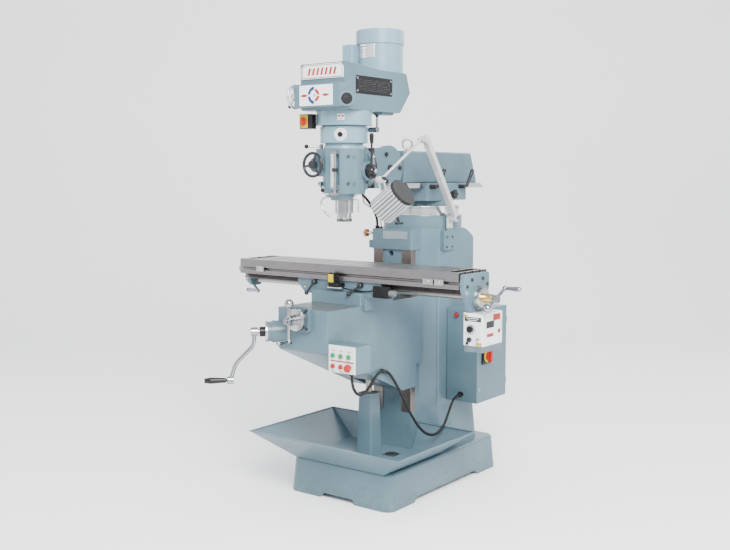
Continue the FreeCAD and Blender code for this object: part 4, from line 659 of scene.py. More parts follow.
class MILL_OT_stage(PieceOperator, bpy.types.Operator):
    """Floor, backdrop, soft lights and the camera"""
    bl_idname = "mill.stage"
    bl_label = "Stage"

    def make(self, s):
        f = Finish("Studio floor")
        mottle = f.noise(1.5, 2.0)
        look = f.surface(color=f.tint(mottle * 0.3, tuple(s.floor), shade(s.floor, 0.97)), rough=0.75,
            specular=0.1)
        floor_material = f.done(look)
        bm = bmesh.new()
        profile = [(-9.0, 0.0), (FLOOR_DEPTH, 0.0)]
        for k in range(1, COVE_STEPS + 1):
            angle = math.radians(90 * k / COVE_STEPS)
            profile.append((FLOOR_DEPTH + COVE_RADIUS * math.sin(angle), COVE_RADIUS - COVE_RADIUS
                * math.cos(angle)))
        profile.append((FLOOR_DEPTH + COVE_RADIUS, 9.0))
        across = Vector((0.8, 0.6, 0))
        away = Vector((-0.6, 0.8, 0))
        rows = [[bm.verts.new(away * d + across * w + Vector((0, 0, h - 0.0005))) for w in (-11, 11)] for d,
            h in profile]
        for a, b in zip(rows, rows[1:]):
            bm.faces.new((a[0], a[1], b[1], b[0]))
        floor = from_bmesh("studio_floor", bm, floor_material, True)

        world = bpy.data.worlds.new("Studio")
        world.use_nodes = True
        background = world.node_tree.nodes["Background"]
        background.inputs[0].default_value = (0.93, 0.96, 1.0, 1)
        background.inputs[1].default_value = WORLD_STRENGTH
        bpy.context.scene.world = world
        aim = Vector((0, -0.1, 1.1))
        for name, place, size, power, colour in (
                ("key", (3.4, -3.4, 4.2), 2.6, s.key_power, (1.0, 0.98, 0.95)),
                ("fill", (-4.6, -3.0, 2.6), 3.2, s.fill_power, (0.93, 0.97, 1.0)),
                ("rim", (1.0, 4.2, 4.0), 2.6, s.fill_power, grey(1.0)),
                ("side", (5.2, 0.6, 1.6), 2.4, s.fill_power * 0.6, (0.95, 0.98, 1.0))):
            data = bpy.data.lights.new(name, "AREA")
            data.size = size
            data.energy = power
            data.color = colour
            lamp = bpy.data.objects.new(name, data)
            lamp.location = place
            lamp.rotation_euler = (aim - Vector(place)).to_track_quat("-Z", "Y").to_euler()
            bpy.context.scene.collection.objects.link(lamp)

        data = bpy.data.cameras.new("camera")
        data.sensor_width = 36.0
        data.lens = s.lens
        camera = bpy.data.objects.new("camera", data)
        camera.location = CAMERA_PLACE
        camera.rotation_euler = (math.radians(90 - CAMERA_PITCH), 0, math.radians(CAMERA_AZIMUTH))
        bpy.context.scene.collection.objects.link(camera)
        bpy.context.scene.camera = camera


class MILL_OT_castings(PieceOperator, bpy.types.Operator):
    """Enamel and machined faces of the castings"""
    bl_idname = "mill.castings"
    bl_label = "Castings"

    def make(self, s):
        for node in ("screw_pedestal", "switch_box"):
            plain(node, "Enamel " + node, casting_paint)

        f = Finish("Column enamel and ways")
        ways = f.inside((-0.1175, None, 0.367), (0.1175, -0.012,
            1.194)) * (1.0 - f.inside((-0.0581, -0.0470, None), (0.0581, 0.3, None)))
        top = f.inside((-0.3, None, 1.3605), (0.3, None, 1.3625))
        steel = ground_steel(f, (0.17, 0.145, 0.135), (220, 220, 5))
        f.paint("column_casting", casting_paint(f), (ways, steel), (top, steel))

        f = Finish("Knee enamel and ways")
        top_z = high("knee_casting").z
        ground = f.z.above(top_z - 0.0006)
        f.paint("knee_casting", casting_paint(f), (ground, ground_steel(f, grey(0.30), (220, 5, 220))))

        f = Finish("Saddle enamel")
        scraped = f.z.above(high("saddle_casting").z - SKIN)
        f.paint("saddle_casting", casting_paint(f), (scraped, ground_steel(f)))

        f = Finish("Turret enamel and bright ring")
        centre = Vector(joint("turret_swivel")["pos_m"])
        away = f.away_from(centre, Z)
        ring = f.z.between(low("turret_casting").z, 1.4095) * away.above(0.180)
        bolts = f.z.between(1.4102, 1.4225) * away.above(0.1665)
        bright = turned_steel(f, Z, grey(0.62), 0.16)
        f.paint("turret_casting", casting_paint(f), (ring, bright), (bolts, black_steel(f)))

        f = Finish("Ram enamel and eye")
        eye = f.z.above(high("ram_casting").z - 0.0695) * f.y.between(0.040, 0.125)
        dovetail = f.z.below(1.5268) * f.x.between(-0.14, 0.14)
        f.paint("ram_casting", casting_paint(f, shade(s.paint, 0.93)),
            (dovetail, ground_steel(f, (0.13, 0.14, 0.145), (200, 5, 200))),
            (eye, turned_steel(f, Z, (0.42, 0.40, 0.36), 0.3)))

        f = Finish("Knuckle enamel and bolts")
        bolts = abs(f.x).above(0.1003)
        face = f.y.below(TILT.y + 0.0138) * f.away_from(TILT, Y).above(0.1117)
        f.paint("ram_knuckle", casting_paint(f), (face, turned_steel(f, Y)), (bolts, black_steel(f)))

        f = Finish("Quill housing enamel")
        head = f.away_from(SPINDLE, Z).above(0.1015) * f.x.between(0.055, 0.11) * f.y.below(-0.50)
        f.paint("quill_housing", casting_paint(f), (head, black_steel(f)))

        f = Finish("Gear case enamel and feed dial")
        out = f.along(GEAR_CENTRE, FEED_AXIS)
        plate = out.above(0.1125) * f.away_from(GEAR_CENTRE, FEED_AXIS).below(0.0305)
        knob = out.above(0.1152) * f.away_from(GEAR_CENTRE, FEED_AXIS).below(0.0125)
        f.paint("gear_housing", casting_paint(f, shade(s.paint, 1.8)),
            (plate, brushed_alloy(f, (0.85, 0.85, 0.86))), (knob, moulded(f)))

        f = Finish("Belt housing enamel and plates")
        front = low("belt_housing").y
        dial = f.y.below(front + 0.00205) * f.inside((-0.1045, None, 1.8805), (0.0925, None, 1.9735))
        badge = f.y.between(-0.6045, -0.60005) * f.inside((-0.1225, None, 2.0035), (0.1225, None, 2.0705))
        label = f.x.above(0.13005) * f.inside((None, -0.5225, 1.9375), (None, -0.2375, 2.0205))
        studs = f.x.between(0.13205, 0.1345) * label
        boss = f.along(BOSS_CENTRE, BOSS_AXIS)
        boss_face = boss.above(0.0301) * f.away_from(BOSS_CENTRE, BOSS_AXIS).below(0.0265)
        grid = self.printed_rows(f)
        f.paint("belt_housing", casting_paint(f), (dial, printed(f, (0.72, 0.73, 0.74))),
            (badge, printed(f, (0.72, 0.73, 0.74))), (label, grid), (studs, turned_steel(f, X)),
            (boss_face, moulded(f, (0.010, 0.010, 0.011))))

        f = Finish("Motor enamel")
        shell = f.away_from(MOTOR_CENTRE, Z)
        plate = shell.between(0.1124, 0.1136) * f.y.below(low("motor").y + 0.1) * f.z.between(2.127, 2.195)
        light = shade(s.paint, 1.9)
        f.paint("motor", casting_paint(f, light, 0.26),
            (plate, brushed_alloy(f, (0.72, 0.73, 0.75), (200, 200, 4))))

    def printed_rows(self, f):
        """Black data plate with faint columns of short marks."""
        rows = (f.z * 130.0).maths("FRACT").below(0.26)
        dashes = (f.y * 62.0 + (f.z * 130.0).maths("FLOOR") * 0.37).maths("FRACT").below(0.62)
        broken = f.noise(160.0, 1.0).above(0.48)
        frame_in = f.inside((None, -0.505, 1.952), (None, -0.255, 2.008))
        marking = rows * dashes * broken * frame_in
        base = f.tint(marking * 0.34, (0.004, 0.004, 0.005), (0.20, 0.19, 0.17))
        return f.surface(color=base, rough=f.noise(90.0, 2.0) * 0.1 + 0.2, coat=0.1, coat_rough=0.1,
            specular=0.25, normal=f.bump(f.noise(60.0), 0.00008, 0.3))


class MILL_OT_sheet_metal(PieceOperator, bpy.types.Operator):
    """Chip tray, cabinet, control box and small fittings"""
    bl_idname = "mill.sheet_metal"
    bl_label = "Sheet metal"

    def make(self, s):
        f = Finish("Tray enamel and drain")
        grate = f.inside((0.060, -0.220, 0.17785), (0.130, -0.150, 0.1815))
        f.paint("chip_tray", sheet_paint(f), (grate, black_steel(f)))

        f = Finish("Column fittings")
        plate = f.y.below(-0.0582) * f.z.between(1.245, 1.287)
        rivets = plate * f.y.below(-0.0597)
        glands = f.inside((-0.118, -0.050, 1.2961), (-0.06, -0.020, 1.32)).maths("MAXIMUM",
            f.inside((0.27, 0.13, 0.43), (0.31, 0.15, 0.47)))
        cover_screws = f.y.above(0.4912)
        f.paint("column_fittings", casting_paint(f), (plate, brushed_alloy(f, (0.30, 0.36, 0.39))),
            (rivets, turned_steel(f, Y)), (glands, moulded(f)), (cover_screws, black_steel(f)))

        f = Finish("Cabinet enamel")
        pilot = f.near((0.264, 0.143, 0.858), 0.017) * f.y.below(0.1499)
        lens = pilot * f.y.below(0.1449)
        inner = f.inside((0.2084, 0.1526, 0.4146), (0.36, 0.4434, 0.8854))
        plate = inner * f.x.below(0.2117)
        relays = inner * f.x.above(0.2117)
        eyes = f.y.above(0.4462)
        f.paint("cabinet_body", sheet_paint(f), (plate, brushed_alloy(f, (0.7, 0.7, 0.66))),
            (relays, moulded(f, (0.06, 0.06, 0.065))), (eyes, turned_steel(f)), (pilot, black_steel(f)),
            (lens, moulded(f, (0.62, 0.02, 0.015), 0.08, 1.0)))

        f = Finish("Door enamel and switch")
        base = f.x.above(DOOR_X + 0.0002) * f.inside((None, 0.19, 0.60), (None, 0.28, 0.69))
        plate = base * f.x.above(DOOR_X + 0.0092)
        locks = f.x.above(DOOR_X + 0.0002) * f.y.below(0.185)
        f.paint("cabinet_door", sheet_paint(f), (base, moulded(f)), (plate, moulded(f, (0.80, 0.60, 0.02))),
            (locks, chrome(f)))
        plain("main_switch_knob", "Switch red", moulded, (0.60, 0.02, 0.015), 0.2, 0.4)
        f = Finish("Valve copper and stem")
        f.paint("valve_knob", turned_steel(f, X, (0.60, 0.52, 0.36)), (f.x.below(-0.1535), copper(f)))

        f = Finish("Control box enamel")
        front = low("control_box").y
        panel = f.y.below(front + 0.00205) * f.x.above(0.148)
        line = panel * f.z.between(0.7415, 0.7475) * f.x.between(0.160, 0.290)
        gland = f.z.below(0.6918) * f.y.below(-0.60)
        clip = f.y.above(-0.5)
        f.paint("control_box", sheet_paint(f), (panel, printed(f, (0.62, 0.65, 0.64))),
            (line, printed(f, (0.50, 0.02, 0.02))), (gland, moulded(f)), (clip, black_steel(f)))
        green, red = (0.02, 0.36, 0.12), (0.62, 0.03, 0.02)
        for node, colour in (("green_1", green), ("green_2", green), ("green_3", green), ("red_1", red),
                ("red_2", red)):
            f = Finish("Button " + node)
            rim = f.y.above(-0.7505)
            f.paint("button_" + node, moulded(f, colour, 0.14, 0.6), (rim, moulded(f, grey(0.5))))
        plain("stop_button", "Stop red", moulded, (0.66, 0.025, 0.02), 0.14, 0.6)


class MILL_OT_steelwork(PieceOperator, bpy.types.Operator):
    """Table, screws, cranks, levers and lamp"""
    bl_idname = "mill.steelwork"
    bl_label = "Steelwork"

    def make(self, s):
        f = Finish("Table steel")
        slots = f.z.below(high("table_casting").z - SKIN)
        front = f.y.below(low("table_casting").y + 0.0003)
        # Faces below the table top, mostly down the T-slots, take dark brown steel: painted shade in the slot
        # recesses.
        tee_shade = slots * (1.0 - front) * f.z.above(1.10)
        under = f.z.below(1.0718)
        painted = front * f.z.between(1.0725, 1.0885)
        base = ground_steel(f, (0.20, 0.188, 0.192))
        dark = ground_steel(f, (0.07, 0.048, 0.036))
        f.paint("table_casting", base, (tee_shade, dark), (under, ground_steel(f, (0.11, 0.10, 0.10))),
            (painted, ground_steel(f, (0.20, 0.185, 0.19))))
        plain("table_dogs", "Dog steel", turned_steel, X, grey(0.44), 0.24)

        f = Finish("Bracket enamel and screws")
        screws = f.x.above(0.6953) * f.z.above(1.078)
        left = f.x.below(-0.6473) * f.z.above(1.075)
        boss = f.x.above(0.7105) * f.z.below(1.09)
        f.paint("table_end_brackets", casting_paint(f, shade(s.paint, 1.1)), (boss, turned_steel(f, X)),
            (screws, black_steel(f)), (left, black_steel(f)))

        f = Finish("Leadscrew and cranks")
        thread = f.x.between(-0.64, 0.68)
        dial = f.x.between(0.7108, 0.7318)
        collar = f.x.between(0.7318, 0.7758)
        brass = f.surface(color=(0.60, 0.44, 0.16), metal=1.0, rough=f.noise(80.0, 2.0) * 0.1 + 0.2)
        f.paint("table_screw", chrome(f), (thread, turned_steel(f, X, (0.34, 0.32, 0.30), 0.3)),
            (dial, turned_steel(f, X, grey(0.50))), (collar, brass))

        f = Finish("Cross crank steel")
        dial = f.y.between(-0.8055, -0.775)
        f.paint("cross_crank", chrome(f), (dial, turned_steel(f, Y, grey(0.50))))

        f = Finish("Knee crank steel and grip")
        out = f.along(KNEE_CRANK, DIAGONAL)
        dial = out.between(0.0632, 0.0745)
        collar = out.between(0.0745, 0.1005)
        grip = out.above(0.249) * f.z.below(0.70)
        f.paint("knee_crank", chrome(f), (dial, turned_steel(f, (1, 1, 0), grey(0.50))),
            (collar, moulded(f)), (grip, moulded(f, grey(0.012), 0.2, 0.4)))

        f = Finish("Knee brackets")
        screws = f.y.below(-0.7702) * abs(f.x).above(0.0335) * f.x.above(-0.06)
        screws = screws * abs(f.z - 0.918).above(0.0335)
        boss = f.y.below(-0.7702) * f.away_from((0, 0, 0.918), Y).below(0.0425)
        f.paint("knee_brackets", casting_paint(f), (boss, turned_steel(f, Y)), (screws, black_steel(f)))
        plain("knee_screw", "Screw steel", turned_steel, Z, (0.22, 0.20, 0.18), 0.3)
        paint_node("limit_switch", self.limit_switch())
        for node in ("table_lock_left", "table_lock_right", "ram_lock_front", "ram_lock_rear",
                "ram_pinion_knob", "power_feed_lever"):
            plain(node, "Blacked " + node, moulded, (0.016, 0.016, 0.018), 0.22, 0.3)

        for node, root, reach in (("brake_lever", (-0.1, -0.49, 1.701), 0.060),
                ("trip_lever", (-0.066, -0.541, 1.526), 0.034)):
            f = Finish("Lever " + node)
            stem = f.near(root, reach)
            f.paint(node, moulded(f), (stem, chrome(f)))
        f = Finish("High low lever")
        f.paint("hi_lo_lever", chrome(f), (f.z.above(1.834), moulded(f)))
        f = Finish("Quill lever")
        centre = Vector(joint("quill_lever_turn")["pos_m"])
        rod = f.z.between(centre.z + 0.030, centre.z + 0.127)
        f.paint("quill_lever", moulded(f, (0.012, 0.012, 0.013), 0.14, 0.6), (rod, black_steel(f)))
        plain("fine_feed_wheel", "Wheel fine_feed_wheel", moulded, (0.020, 0.021, 0.024), 0.2, 0.35)
        f = Finish("Speed wheel alloy")
        knob = f.x.below(-0.1572)
        f.paint("speed_wheel", brushed_alloy(f, (0.52, 0.55, 0.57), (4, 200, 200)), (knob, moulded(f)))

        plain("quill", "Quill steel", turned_steel, Z, grey(0.38), 0.12)
        f = Finish("Spindle steel")
        nose = f.z.below(1.361)
        bore = f.away_from(SPINDLE, Z).below(0.0163)
        f.paint("spindle", turned_steel(f, Z, grey(0.42), 0.16),
            (nose, turned_steel(f, Z, (0.14, 0.135, 0.13), 0.22)), (bore, turned_steel(f, Z, grey(0.30))))
        f = Finish("Depth stop steel")
        scale = f.x.below(0.0165) * f.y.below(-0.5355) * f.z.above(1.5)
        f.paint("depth_stop", turned_steel(f, Z, (0.34, 0.33, 0.33)),
            (scale, brushed_alloy(f, (0.84, 0.84, 0.85))))
        plain("depth_nut", "Depth nut", black_steel)
        f = Finish("Nozzle steel")
        white = f.x.above(0.05) * f.z.above(1.4538)
        f.paint("coolant_nozzle", turned_steel(f, Z, (0.55, 0.56, 0.56), 0.22),
            (white, moulded(f, grey(0.72))))
        f = Finish("Head switch box")
        yellow = f.y.below(-0.5742)
        f.paint("switch_box", moulded(f, (0.012, 0.012, 0.013)), (yellow, moulded(f, (0.84, 0.60, 0.04))))
        plain("switch_knob", "Head switch red", moulded, (0.66, 0.06, 0.02), 0.2, 0.3)

        f = Finish("Power feed housing")
        foot = f.z.below(0.8229)
        dial = f.y.below(-0.4391) * f.near(FEED_DIAL, 0.0245)
        knob = f.y.below(-0.4422) * f.near(FEED_DIAL, 0.022)
        toggle = f.y.below(-0.4391) * f.near((0.738, -0.444, 0.855), 0.009)
        side = f.x.above(0.7601)
        label = f.y.below(-0.4385) * f.inside((0.668, None, 0.930), (0.752, None, 0.950))
        f.paint("power_feed", moulded(f, (0.64, 0.66, 0.68), 0.24, 0.4),
            (foot, moulded(f, (0.10, 0.13, 0.155), 0.4)), (label, printed(f, (0.03, 0.03, 0.035))),
            (dial, printed(f, (0.34, 0.36, 0.39))), (knob, moulded(f)), (toggle, chrome(f)),
            (side, moulded(f, (0.60, 0.04, 0.03))))
        self.lamp(s)

    def limit_switch(self):
        f = Finish("Limit switch")
        yellow = f.y.below(-0.5362)
        bracket = f.z.below(1.0421) * f.x.between(-0.043, 0.041)
        roller = f.z.above(1.1102)
        plug = f.x.above(0.3022)
        return f.done(moulded(f), (yellow, moulded(f, (0.86, 0.66, 0.03))), (bracket, brushed_alloy(f)),
            (roller, turned_steel(f)), (plug, moulded(f, (0.10, 0.11, 0.11))))

    def lamp(self, s):
        pale = (0.36, 0.355, 0.36)
        f = Finish("Lamp bracket")
        pin = f.x.above(0.2282)
        pad = f.z.below(1.3)
        screws = pad * f.x.above(0.2142)
        f.paint("lamp_bracket", moulded(f, pale, 0.3), (pad, casting_paint(f)), (pin, chrome(f)),
            (screws, black_steel(f)))
        f = Finish("Lamp arm")
        elbow = Vector(joint("lamp_elbow_hinge")["pos_m"])
        pin = f.near((elbow.x + 0.026, elbow.y, elbow.z), 0.060) * f.x.below(elbow.x + 0.0105)
        f.paint("lamp_lower_arm", moulded(f, (0.42, 0.42, 0.43), 0.32), (pin, chrome(f)))
        plain("lamp_upper_rod", "Lamp rod", moulded, (0.44, 0.44, 0.45), 0.18, 0.6)
        f = Finish("Lamp head alloy")
        along = f.along(LAMP_CENTRE, LAMP_AIM)
        away = f.away_from(LAMP_CENTRE, LAMP_AIM)
        cap = along.below(-0.0661)
        lens = along.between(0.050, 0.0665) * away.below(0.0581)
        grip = away.above(0.0683) * f.z.below(1.42)
        ears = f.away_from(joint("lamp_head_hinge")["pos_m"], X).below(0.016)
        # The groove bottoms between the ribs take a dark alloy: painted shade in the grooves.
        groove_shade = away.below(0.0655) * along.between(-0.066, 0.0658)
        f.paint("lamp_head", brushed_alloy(f, (0.56, 0.57, 0.59), (4, 200, 200)),
            (groove_shade, brushed_alloy(f, (0.20, 0.205, 0.21))), (lens, printed(f, (0.80, 0.82, 0.80))),
            (ears, moulded(f, pale, 0.3)), (cap, moulded(f, (0.020, 0.020, 0.022), 0.5, 0.0)),
            (grip, moulded(f, grey(0.010), 0.3)))


class MILL_OT_plates(PieceOperator, bpy.types.Operator):
    """Speed plate arcs, generic badges and stickers"""
    bl_idname = "mill.plates"
    bl_label = "Plates and stickers"

    def make(self, s):
        red = simple("Plate red", printed, (0.58, 0.035, 0.025))
        blue = simple("Plate blue", printed, (0.02, 0.07, 0.30))
        dark = simple("Plate dark", printed, (0.16, 0.02, 0.018))
        teal = simple("Plate grey green", printed, (0.22, 0.36, 0.36))
        y = low("belt_housing").y
        centre = Vector((-0.012, y, 1.927))
        right, up = X, Z
        thick = 0.0004
        left_arc = [(band_outline(0.026, 0.040, a, b), centre, right, up, thick) for a,
            b in ((96, 172), (188, 264))]
        plates("speed_arc_blue", blue, "head", left_arc)
        right_arc = [(band_outline(0.016, 0.028, a, b), centre, right, up, thick) for a,
            b in ((-84, -8), (8, 84))]
        plates("speed_arc_red", red, "head", right_arc)
        plates("speed_hub", teal, "head",
            [(band_outline(0.0, 0.006, 0, 359.0, 28)[:29], centre, right, up, thick)])
        lens_shapes = []
        for x in (-0.074, 0.052):
            outline = [(0.024 * math.cos(math.radians(t)), 0.0058 * math.sin(math.radians(t)) ** 3)
                for t in range(0, 360, 12) if t not in (0, 180)]
            lens_shapes.append((outline, Vector((x, y, 1.927)), right, up, thick))
        plates("speed_markers", red, "head", lens_shapes)

        badge = Vector((0, -0.604, 2.037))
        border = [(bars(0.208, 0.0026), badge + Vector((0, 0, 0.0285)), right, up, thick),
            (bars(0.230, 0.0026), badge + Vector((0, 0, -0.0285)), right, up, thick)]
        for x in (-0.1163, 0.1163):
            border.append((bars(0.0026, 0.0433), badge + Vector((x, 0, -0.00815)), right, up, thick))
        for side in (-1, 1):
            lean = Vector((side, 0, -1)).normalized()
            border.append((bars(0.0166, 0.0026), badge + Vector((side * 0.1103, 0, 0.0215)), lean * side,
                Vector((side, 0, 1)), thick))
        plates("badge_border", dark, "head", border)
        waves = []
        for k in range(7):
            x = -0.075 + 0.025 * k
            waves.append(([(0.0105, 0.016), (-0.0015, 0.016), (-0.0105, -0.016), (0.0015, -0.016)], badge
                + Vector((x, 0, 0)), right, up, thick))
        plates("badge_bars", red, "head", waves)

        marks = []
        for z in (2.183, 2.168, 2.160, 2.152, 2.138):
            for k in range(5):
                angle = math.radians(-108 + 5 * k)
                out = Vector((math.cos(angle), math.sin(angle), 0))
                marks.append((bars(0.0075, 0.0052 if z > 2.18 else 0.0022), MOTOR_CENTRE + out * 0.1134
                    + Vector((0, 0, z)), Vector((-out.y, out.x, 0)), up, 0.0002))
        plates("motor_plate_marks", dark, "head", marks)

        stickers = []
        patches = []
        for k, angle in enumerate((-62, -54)):
            a = math.radians(angle)
            out = Vector((math.cos(a), math.sin(a), 0))
            place = Vector((0, SPINDLE.y, 1.832)) + out * 0.1302
            across = Vector((-out.y, out.x, 0))
            stickers.append((rounded_outline(0.015, 0.028, 0.002), place, across, up, 0.0003))
            patches.append((band_outline(0.003, 0.0056, 0, 359, 24)[:25], place + out * 0.0003
                + Vector((0, 0, 0.004)), across, up, 0.0002))
            patches.append((bars(0.010, 0.003), place + out * 0.0003 - Vector((0, 0, 0.008)), across, up,
                0.0002))
        plates("case_stickers", simple("Sticker white", printed, (0.82, 0.80, 0.80)), "head",
            stickers)
        plates("case_sticker_marks", simple("Sticker red", printed, (0.70, 0.12, 0.12)), "head",
            patches)

        face = Vector((0.7085, -0.439, 0))
        plates("feed_unit_marks", simple("Feed label white", printed, (0.85, 0.86, 0.88)), "table",
            [(bars(0.062, 0.0022), face + Vector((0, 0, 0.944)), right, up, thick),
            (bars(0.046, 0.0022), face + Vector((0, 0, 0.936)), right, up, thick)])
        plates("feed_unit_caution", red, "table",
            [(rounded_outline(0.056, 0.015, 0.002), Vector((0.760, -0.375, 0.868)), Y, up, thick)])
        plates("feed_unit_plate", simple("Feed plate black", printed, (0.015, 0.015, 0.017)), "table",
            [(rounded_outline(0.066, 0.030, 0.002), Vector((0.760, -0.375, 0.915)), Y, up,
            thick)])
        plates("feed_unit_notes", simple("Feed note yellow", printed, (0.66, 0.52, 0.05)), "table",
            [(rounded_outline(0.018, 0.012, 0.002), Vector((0.674, -0.439, 0.954)), right,
            up, thick), (rounded_outline(0.030, 0.014, 0.002), Vector((0.740, -0.439, 0.832)), right, up,
            thick)])

        panel = low("control_box").y
        ticks = []
        for x in (0.177, 0.221, 0.266):
            for z in (0.792, 0.700):
                ticks.append((bars(0.020, 0.003), Vector((x, panel, z)), right, up, 0.0002))
        plates("panel_captions", dark, "knee", ticks[:-1])


class MILL_OT_marks(PieceOperator, bpy.types.Operator):
    """Graduations on the turret, dials, tilt face and scales"""
    bl_idname = "mill.marks"
    bl_label = "Graduations"

    def make(self, s):
        if not s.show_marks:
            return
        # One black serves the engraved marks and the louvre bars; on the louvre bars it is painted shade.
        marking = simple("Engraved black and louvre shade", printed, grey(0.02))
        ring_group = dial_marks_tree()
        row_group = row_marks_tree()
        turret = Vector(joint("turret_swivel")["pos_m"])
        knee_dial = KNEE_CRANK + DIAGONAL * 0.069
        rings = (
            ("turret_marks", "turret", (turret.x, turret.y, 1.400), Z, s.ring_marks,
             0.1881, 0.010, 0.0010, False, 10),
            ("cross_dial_marks", "cross_crank", (0, -0.785, 0.918), Y, 60, 0.0501, 0.007, 0.0007, False, 5),
            ("table_dial_marks", "table_screw", (0.719, -0.38, 1.03), X, 60, 0.0451, 0.006, 0.0007, False, 5),
            ("knee_dial_marks", "knee_crank", knee_dial, DIAGONAL, 60, 0.0471, 0.004, 0.0007, False, 5),
            ("tilt_marks", "knuckle", (TILT.x, TILT.y + 0.008, TILT.z),
             Y, 72, 0.1121, 0.005, 0.0010, False, 6),
            ("feed_dial_marks", "head", GEAR_CENTRE + FEED_AXIS * 0.1152,
             FEED_AXIS, 12, 0.023, 0.005, 0.0012, True, 3),
            ("feed_speed_marks", "table", (0.700, -0.4422, 0.897), (0, -1, 0),
             20, 0.0185, 0.003, 0.0007, True, 5))
        for name, body, origin, axis, count, radius, length, width, facing, long in rings:
            made = grown(name, ring_group, {"Count": count, "Radius": radius, "Length": length,
                "Width": width, "Thickness": 0.0004, "Long": long, "Facing": facing, "Material": marking})
            keep(place_ring(made, origin, axis), body)

        scale_x = low("depth_stop").x + 0.006
        made = grown("depth_scale_marks", row_group, {"Count": 60, "Start": (scale_x, -0.5392, 1.513),
            "Step": (0, 0, 0.0025), "Size": (0.006, 0.0004, 0.0005), "Longer": (1.7, 1, 1.4), "Long": 10,
            "Material": marking})
        keep(made, "head")
        # Black bars on the motor cowl and the column's rear cover stand for louvre slits: painted shade of
        # the openings.
        made = grown("cowl_louvre_shade", row_group, {"Count": 9,
            "Start": (-0.072, -0.157, high("motor").z + 0.0002), "Step": (0.018, 0, 0),
            "Size": (0.006, 0.120, 0.0012), "Longer": (1, 1, 1), "Long": 1, "Material": marking})
        keep(made, "head")
        made = grown("cover_louvre_shade", row_group, {"Count": 6, "Start": (0, 0.4914, 0.72),
            "Step": (0, 0, 0.034), "Size": (0.110, 0.0012, 0.009), "Longer": (1, 1, 1), "Long": 1,
            "Material": marking})
        keep(made, "frame")


class MILL_OT_hoses(PieceOperator, bpy.types.Operator):
    """Control conduit, motor conduit and coolant hose"""
    bl_idname = "mill.hoses"
    bl_label = "Hoses"

    def route(self, name, points):
        data = bpy.data.curves.new(name, "CURVE")
        data.dimensions = "3D"
        spline = data.splines.new("NURBS")
        spline.points.add(len(points) - 1)
        for point, place in zip(spline.points, points):
            point.co = (place[0] * MM, place[1] * MM, place[2] * MM, 1)
        spline.order_u = 3
        spline.use_endpoint_u = True
        spline.resolution_u = 12
        made = bpy.data.objects.new(name + "_line", data)
        bpy.context.scene.collection.objects.link(made)
        return made

    def line_points(self, line):
        mesh = bpy.data.meshes.new_from_object(line)
        points = [tuple(v.co) for v in mesh.vertices]
        bpy.data.meshes.remove(mesh)
        return points

    def make(self, s):
        black = simple("Conduit black", moulded, (0.014, 0.014, 0.015), 0.34, 0.15)
        grey = simple("Hose grey", moulded, (0.20, 0.21, 0.22), 0.3, 0.3)
        group = hose_ribs_tree()
        routes = {
            "knee_conduit": ([(236, -690, 690), (236, -690, 632), (226, -645, 582), (204, -580, 562),
                              (183, -500, 570), (168, -436, 604), (160, -384, 632), (160, -312, 632),
                              (172, -254, 556), (194, -212, 462), (220, -170, 366), (246, -122, 296),
                              (268, -60, 272), (284, 0, 308), (291, 40, 384), (293, 84, 451),
                              (293, 148, 451)],
                             0.0062, black),
            "head_conduit": ([(-104, -36, 1297), (-104, -36, 1336), (-99, -62, 1376), (-92, -104, 1414),
                              (-86, -144, 1442), (-84, -176, 1462), (-84, -204, 1479)], 0.0062, black),
            "coolant_hose": ([(-76, -40, 1297), (-76, -40, 1336), (-74, -76, 1378), (-66, -136, 1404),
                              (-50, -200, 1420), (-24, -262, 1436), (14, -312, 1450), (50, -360, 1460),
                              (76, -398, 1465), (84, -428, 1467)], 0.0034, grey)}
        for name, (points, radius, material) in routes.items():
            line = self.route(name, points)
            path = self.line_points(line)
            rib = 1.12 if radius > 0.005 else 1.0
            made = grown(name + "_skin", group, {"Pitch": s.hose_pitch, "Radius": radius, "Rib": rib,
                "Material": material}, line, True)
            length = sum((Vector(b) - Vector(a)).length for a, b in zip(path, path[1:]))
            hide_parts(name)
            if name == "knee_conduit":
                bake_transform(made)
            else:
                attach(made, "frame")
            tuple(path[0])
            radius * 2 * rib


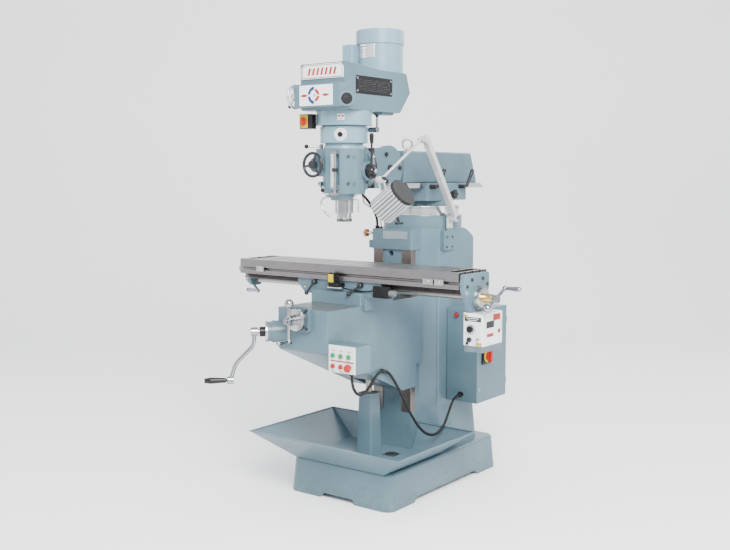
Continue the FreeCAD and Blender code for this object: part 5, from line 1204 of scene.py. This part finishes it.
class MILL_OT_fittings(PieceOperator, bpy.types.Operator):
    """Small turned and moulded fittings"""
    bl_idname = "mill.fittings"
    bl_label = "Fittings"

    def make(self, s):
        black = simple("Fitting black", moulded, (0.012, 0.012, 0.013), 0.2, 0.4)
        brass = simple("Oil cup brass", turned_steel, Z, (0.62, 0.46, 0.18), 0.22)
        steel = simple("Fitting steel", turned_steel, Y, grey(0.62), 0.2)
        front = low("knee_casting").y
        for k, x in enumerate((-0.122, -0.096, -0.070)):
            lathe("oil_nipple_%d" % k, black, "knee",
                [(0, 0), (0, 0.006), (0.0035, 0.006), (0.0045, 0.0045), (0.0045, 0.003), (0.007, 0.002),
                (0.007, 0)], (x, front, 0.800), (0, -1, 0), 24)
        for k, (x, z) in enumerate(((0.206, 1.028), (-0.206, 1.028))):
            lathe("saddle_oil_cup_%d" % k, brass, "saddle",
                [(0, 0), (0, 0.005), (0.003, 0.005), (0.004, 0.0035), (0.006, 0.003), (0.007, 0)],
                (x, -0.490, z), (0, -1, 0), 24)
        lathe("boss_face_hub", black, "head",
            [(0, 0), (0, 0.020), (0.0012, 0.019), (0.0014, 0.009), (0.003, 0.008), (0.0036, 0)], BOSS_CENTRE
            + BOSS_AXIS * 0.033, BOSS_AXIS, 40)
        lathe("quill_lever_hub_cap", steel, "quill_lever",
            [(0, 0), (0, 0.010), (0.002, 0.010), (0.003, 0.008), (0.003, 0)],
            Vector(joint("quill_lever_turn")["pos_m"]) + Vector((0.0195, 0, 0)), X, 32)


class MILL_PT_panel(bpy.types.Panel):
    bl_label = "Turret mill"
    bl_idname = "MILL_PT_panel"
    bl_space_type = "VIEW_3D"
    bl_region_type = "UI"
    bl_category = "Mill"

    def draw(self, context):
        for name in MillSettings.__annotations__:
            self.layout.prop(context.scene.mill, name)
        for operator in OPERATORS:
            self.layout.operator(operator.bl_idname)


OPERATORS = (MILL_OT_stage, MILL_OT_castings, MILL_OT_sheet_metal, MILL_OT_steelwork, MILL_OT_plates,
    MILL_OT_marks, MILL_OT_hoses, MILL_OT_fittings)
CLASSES = (MillSettings, *OPERATORS, MILL_PT_panel)


def register():
    for made in CLASSES:
        bpy.utils.register_class(made)
    bpy.types.Scene.mill = bpy.props.PointerProperty(type=MillSettings)


def unregister():
    del bpy.types.Scene.mill
    for made in reversed(CLASSES):
        bpy.utils.unregister_class(made)


def main():
    register()
    bpy.ops.mill.stage()
    bpy.ops.mill.castings()
    bpy.ops.mill.sheet_metal()
    bpy.ops.mill.steelwork()
    bpy.ops.mill.plates()
    bpy.ops.mill.marks()
    bpy.ops.mill.hoses()
    bpy.ops.mill.fittings()


if __name__ == "__main__":
    main()
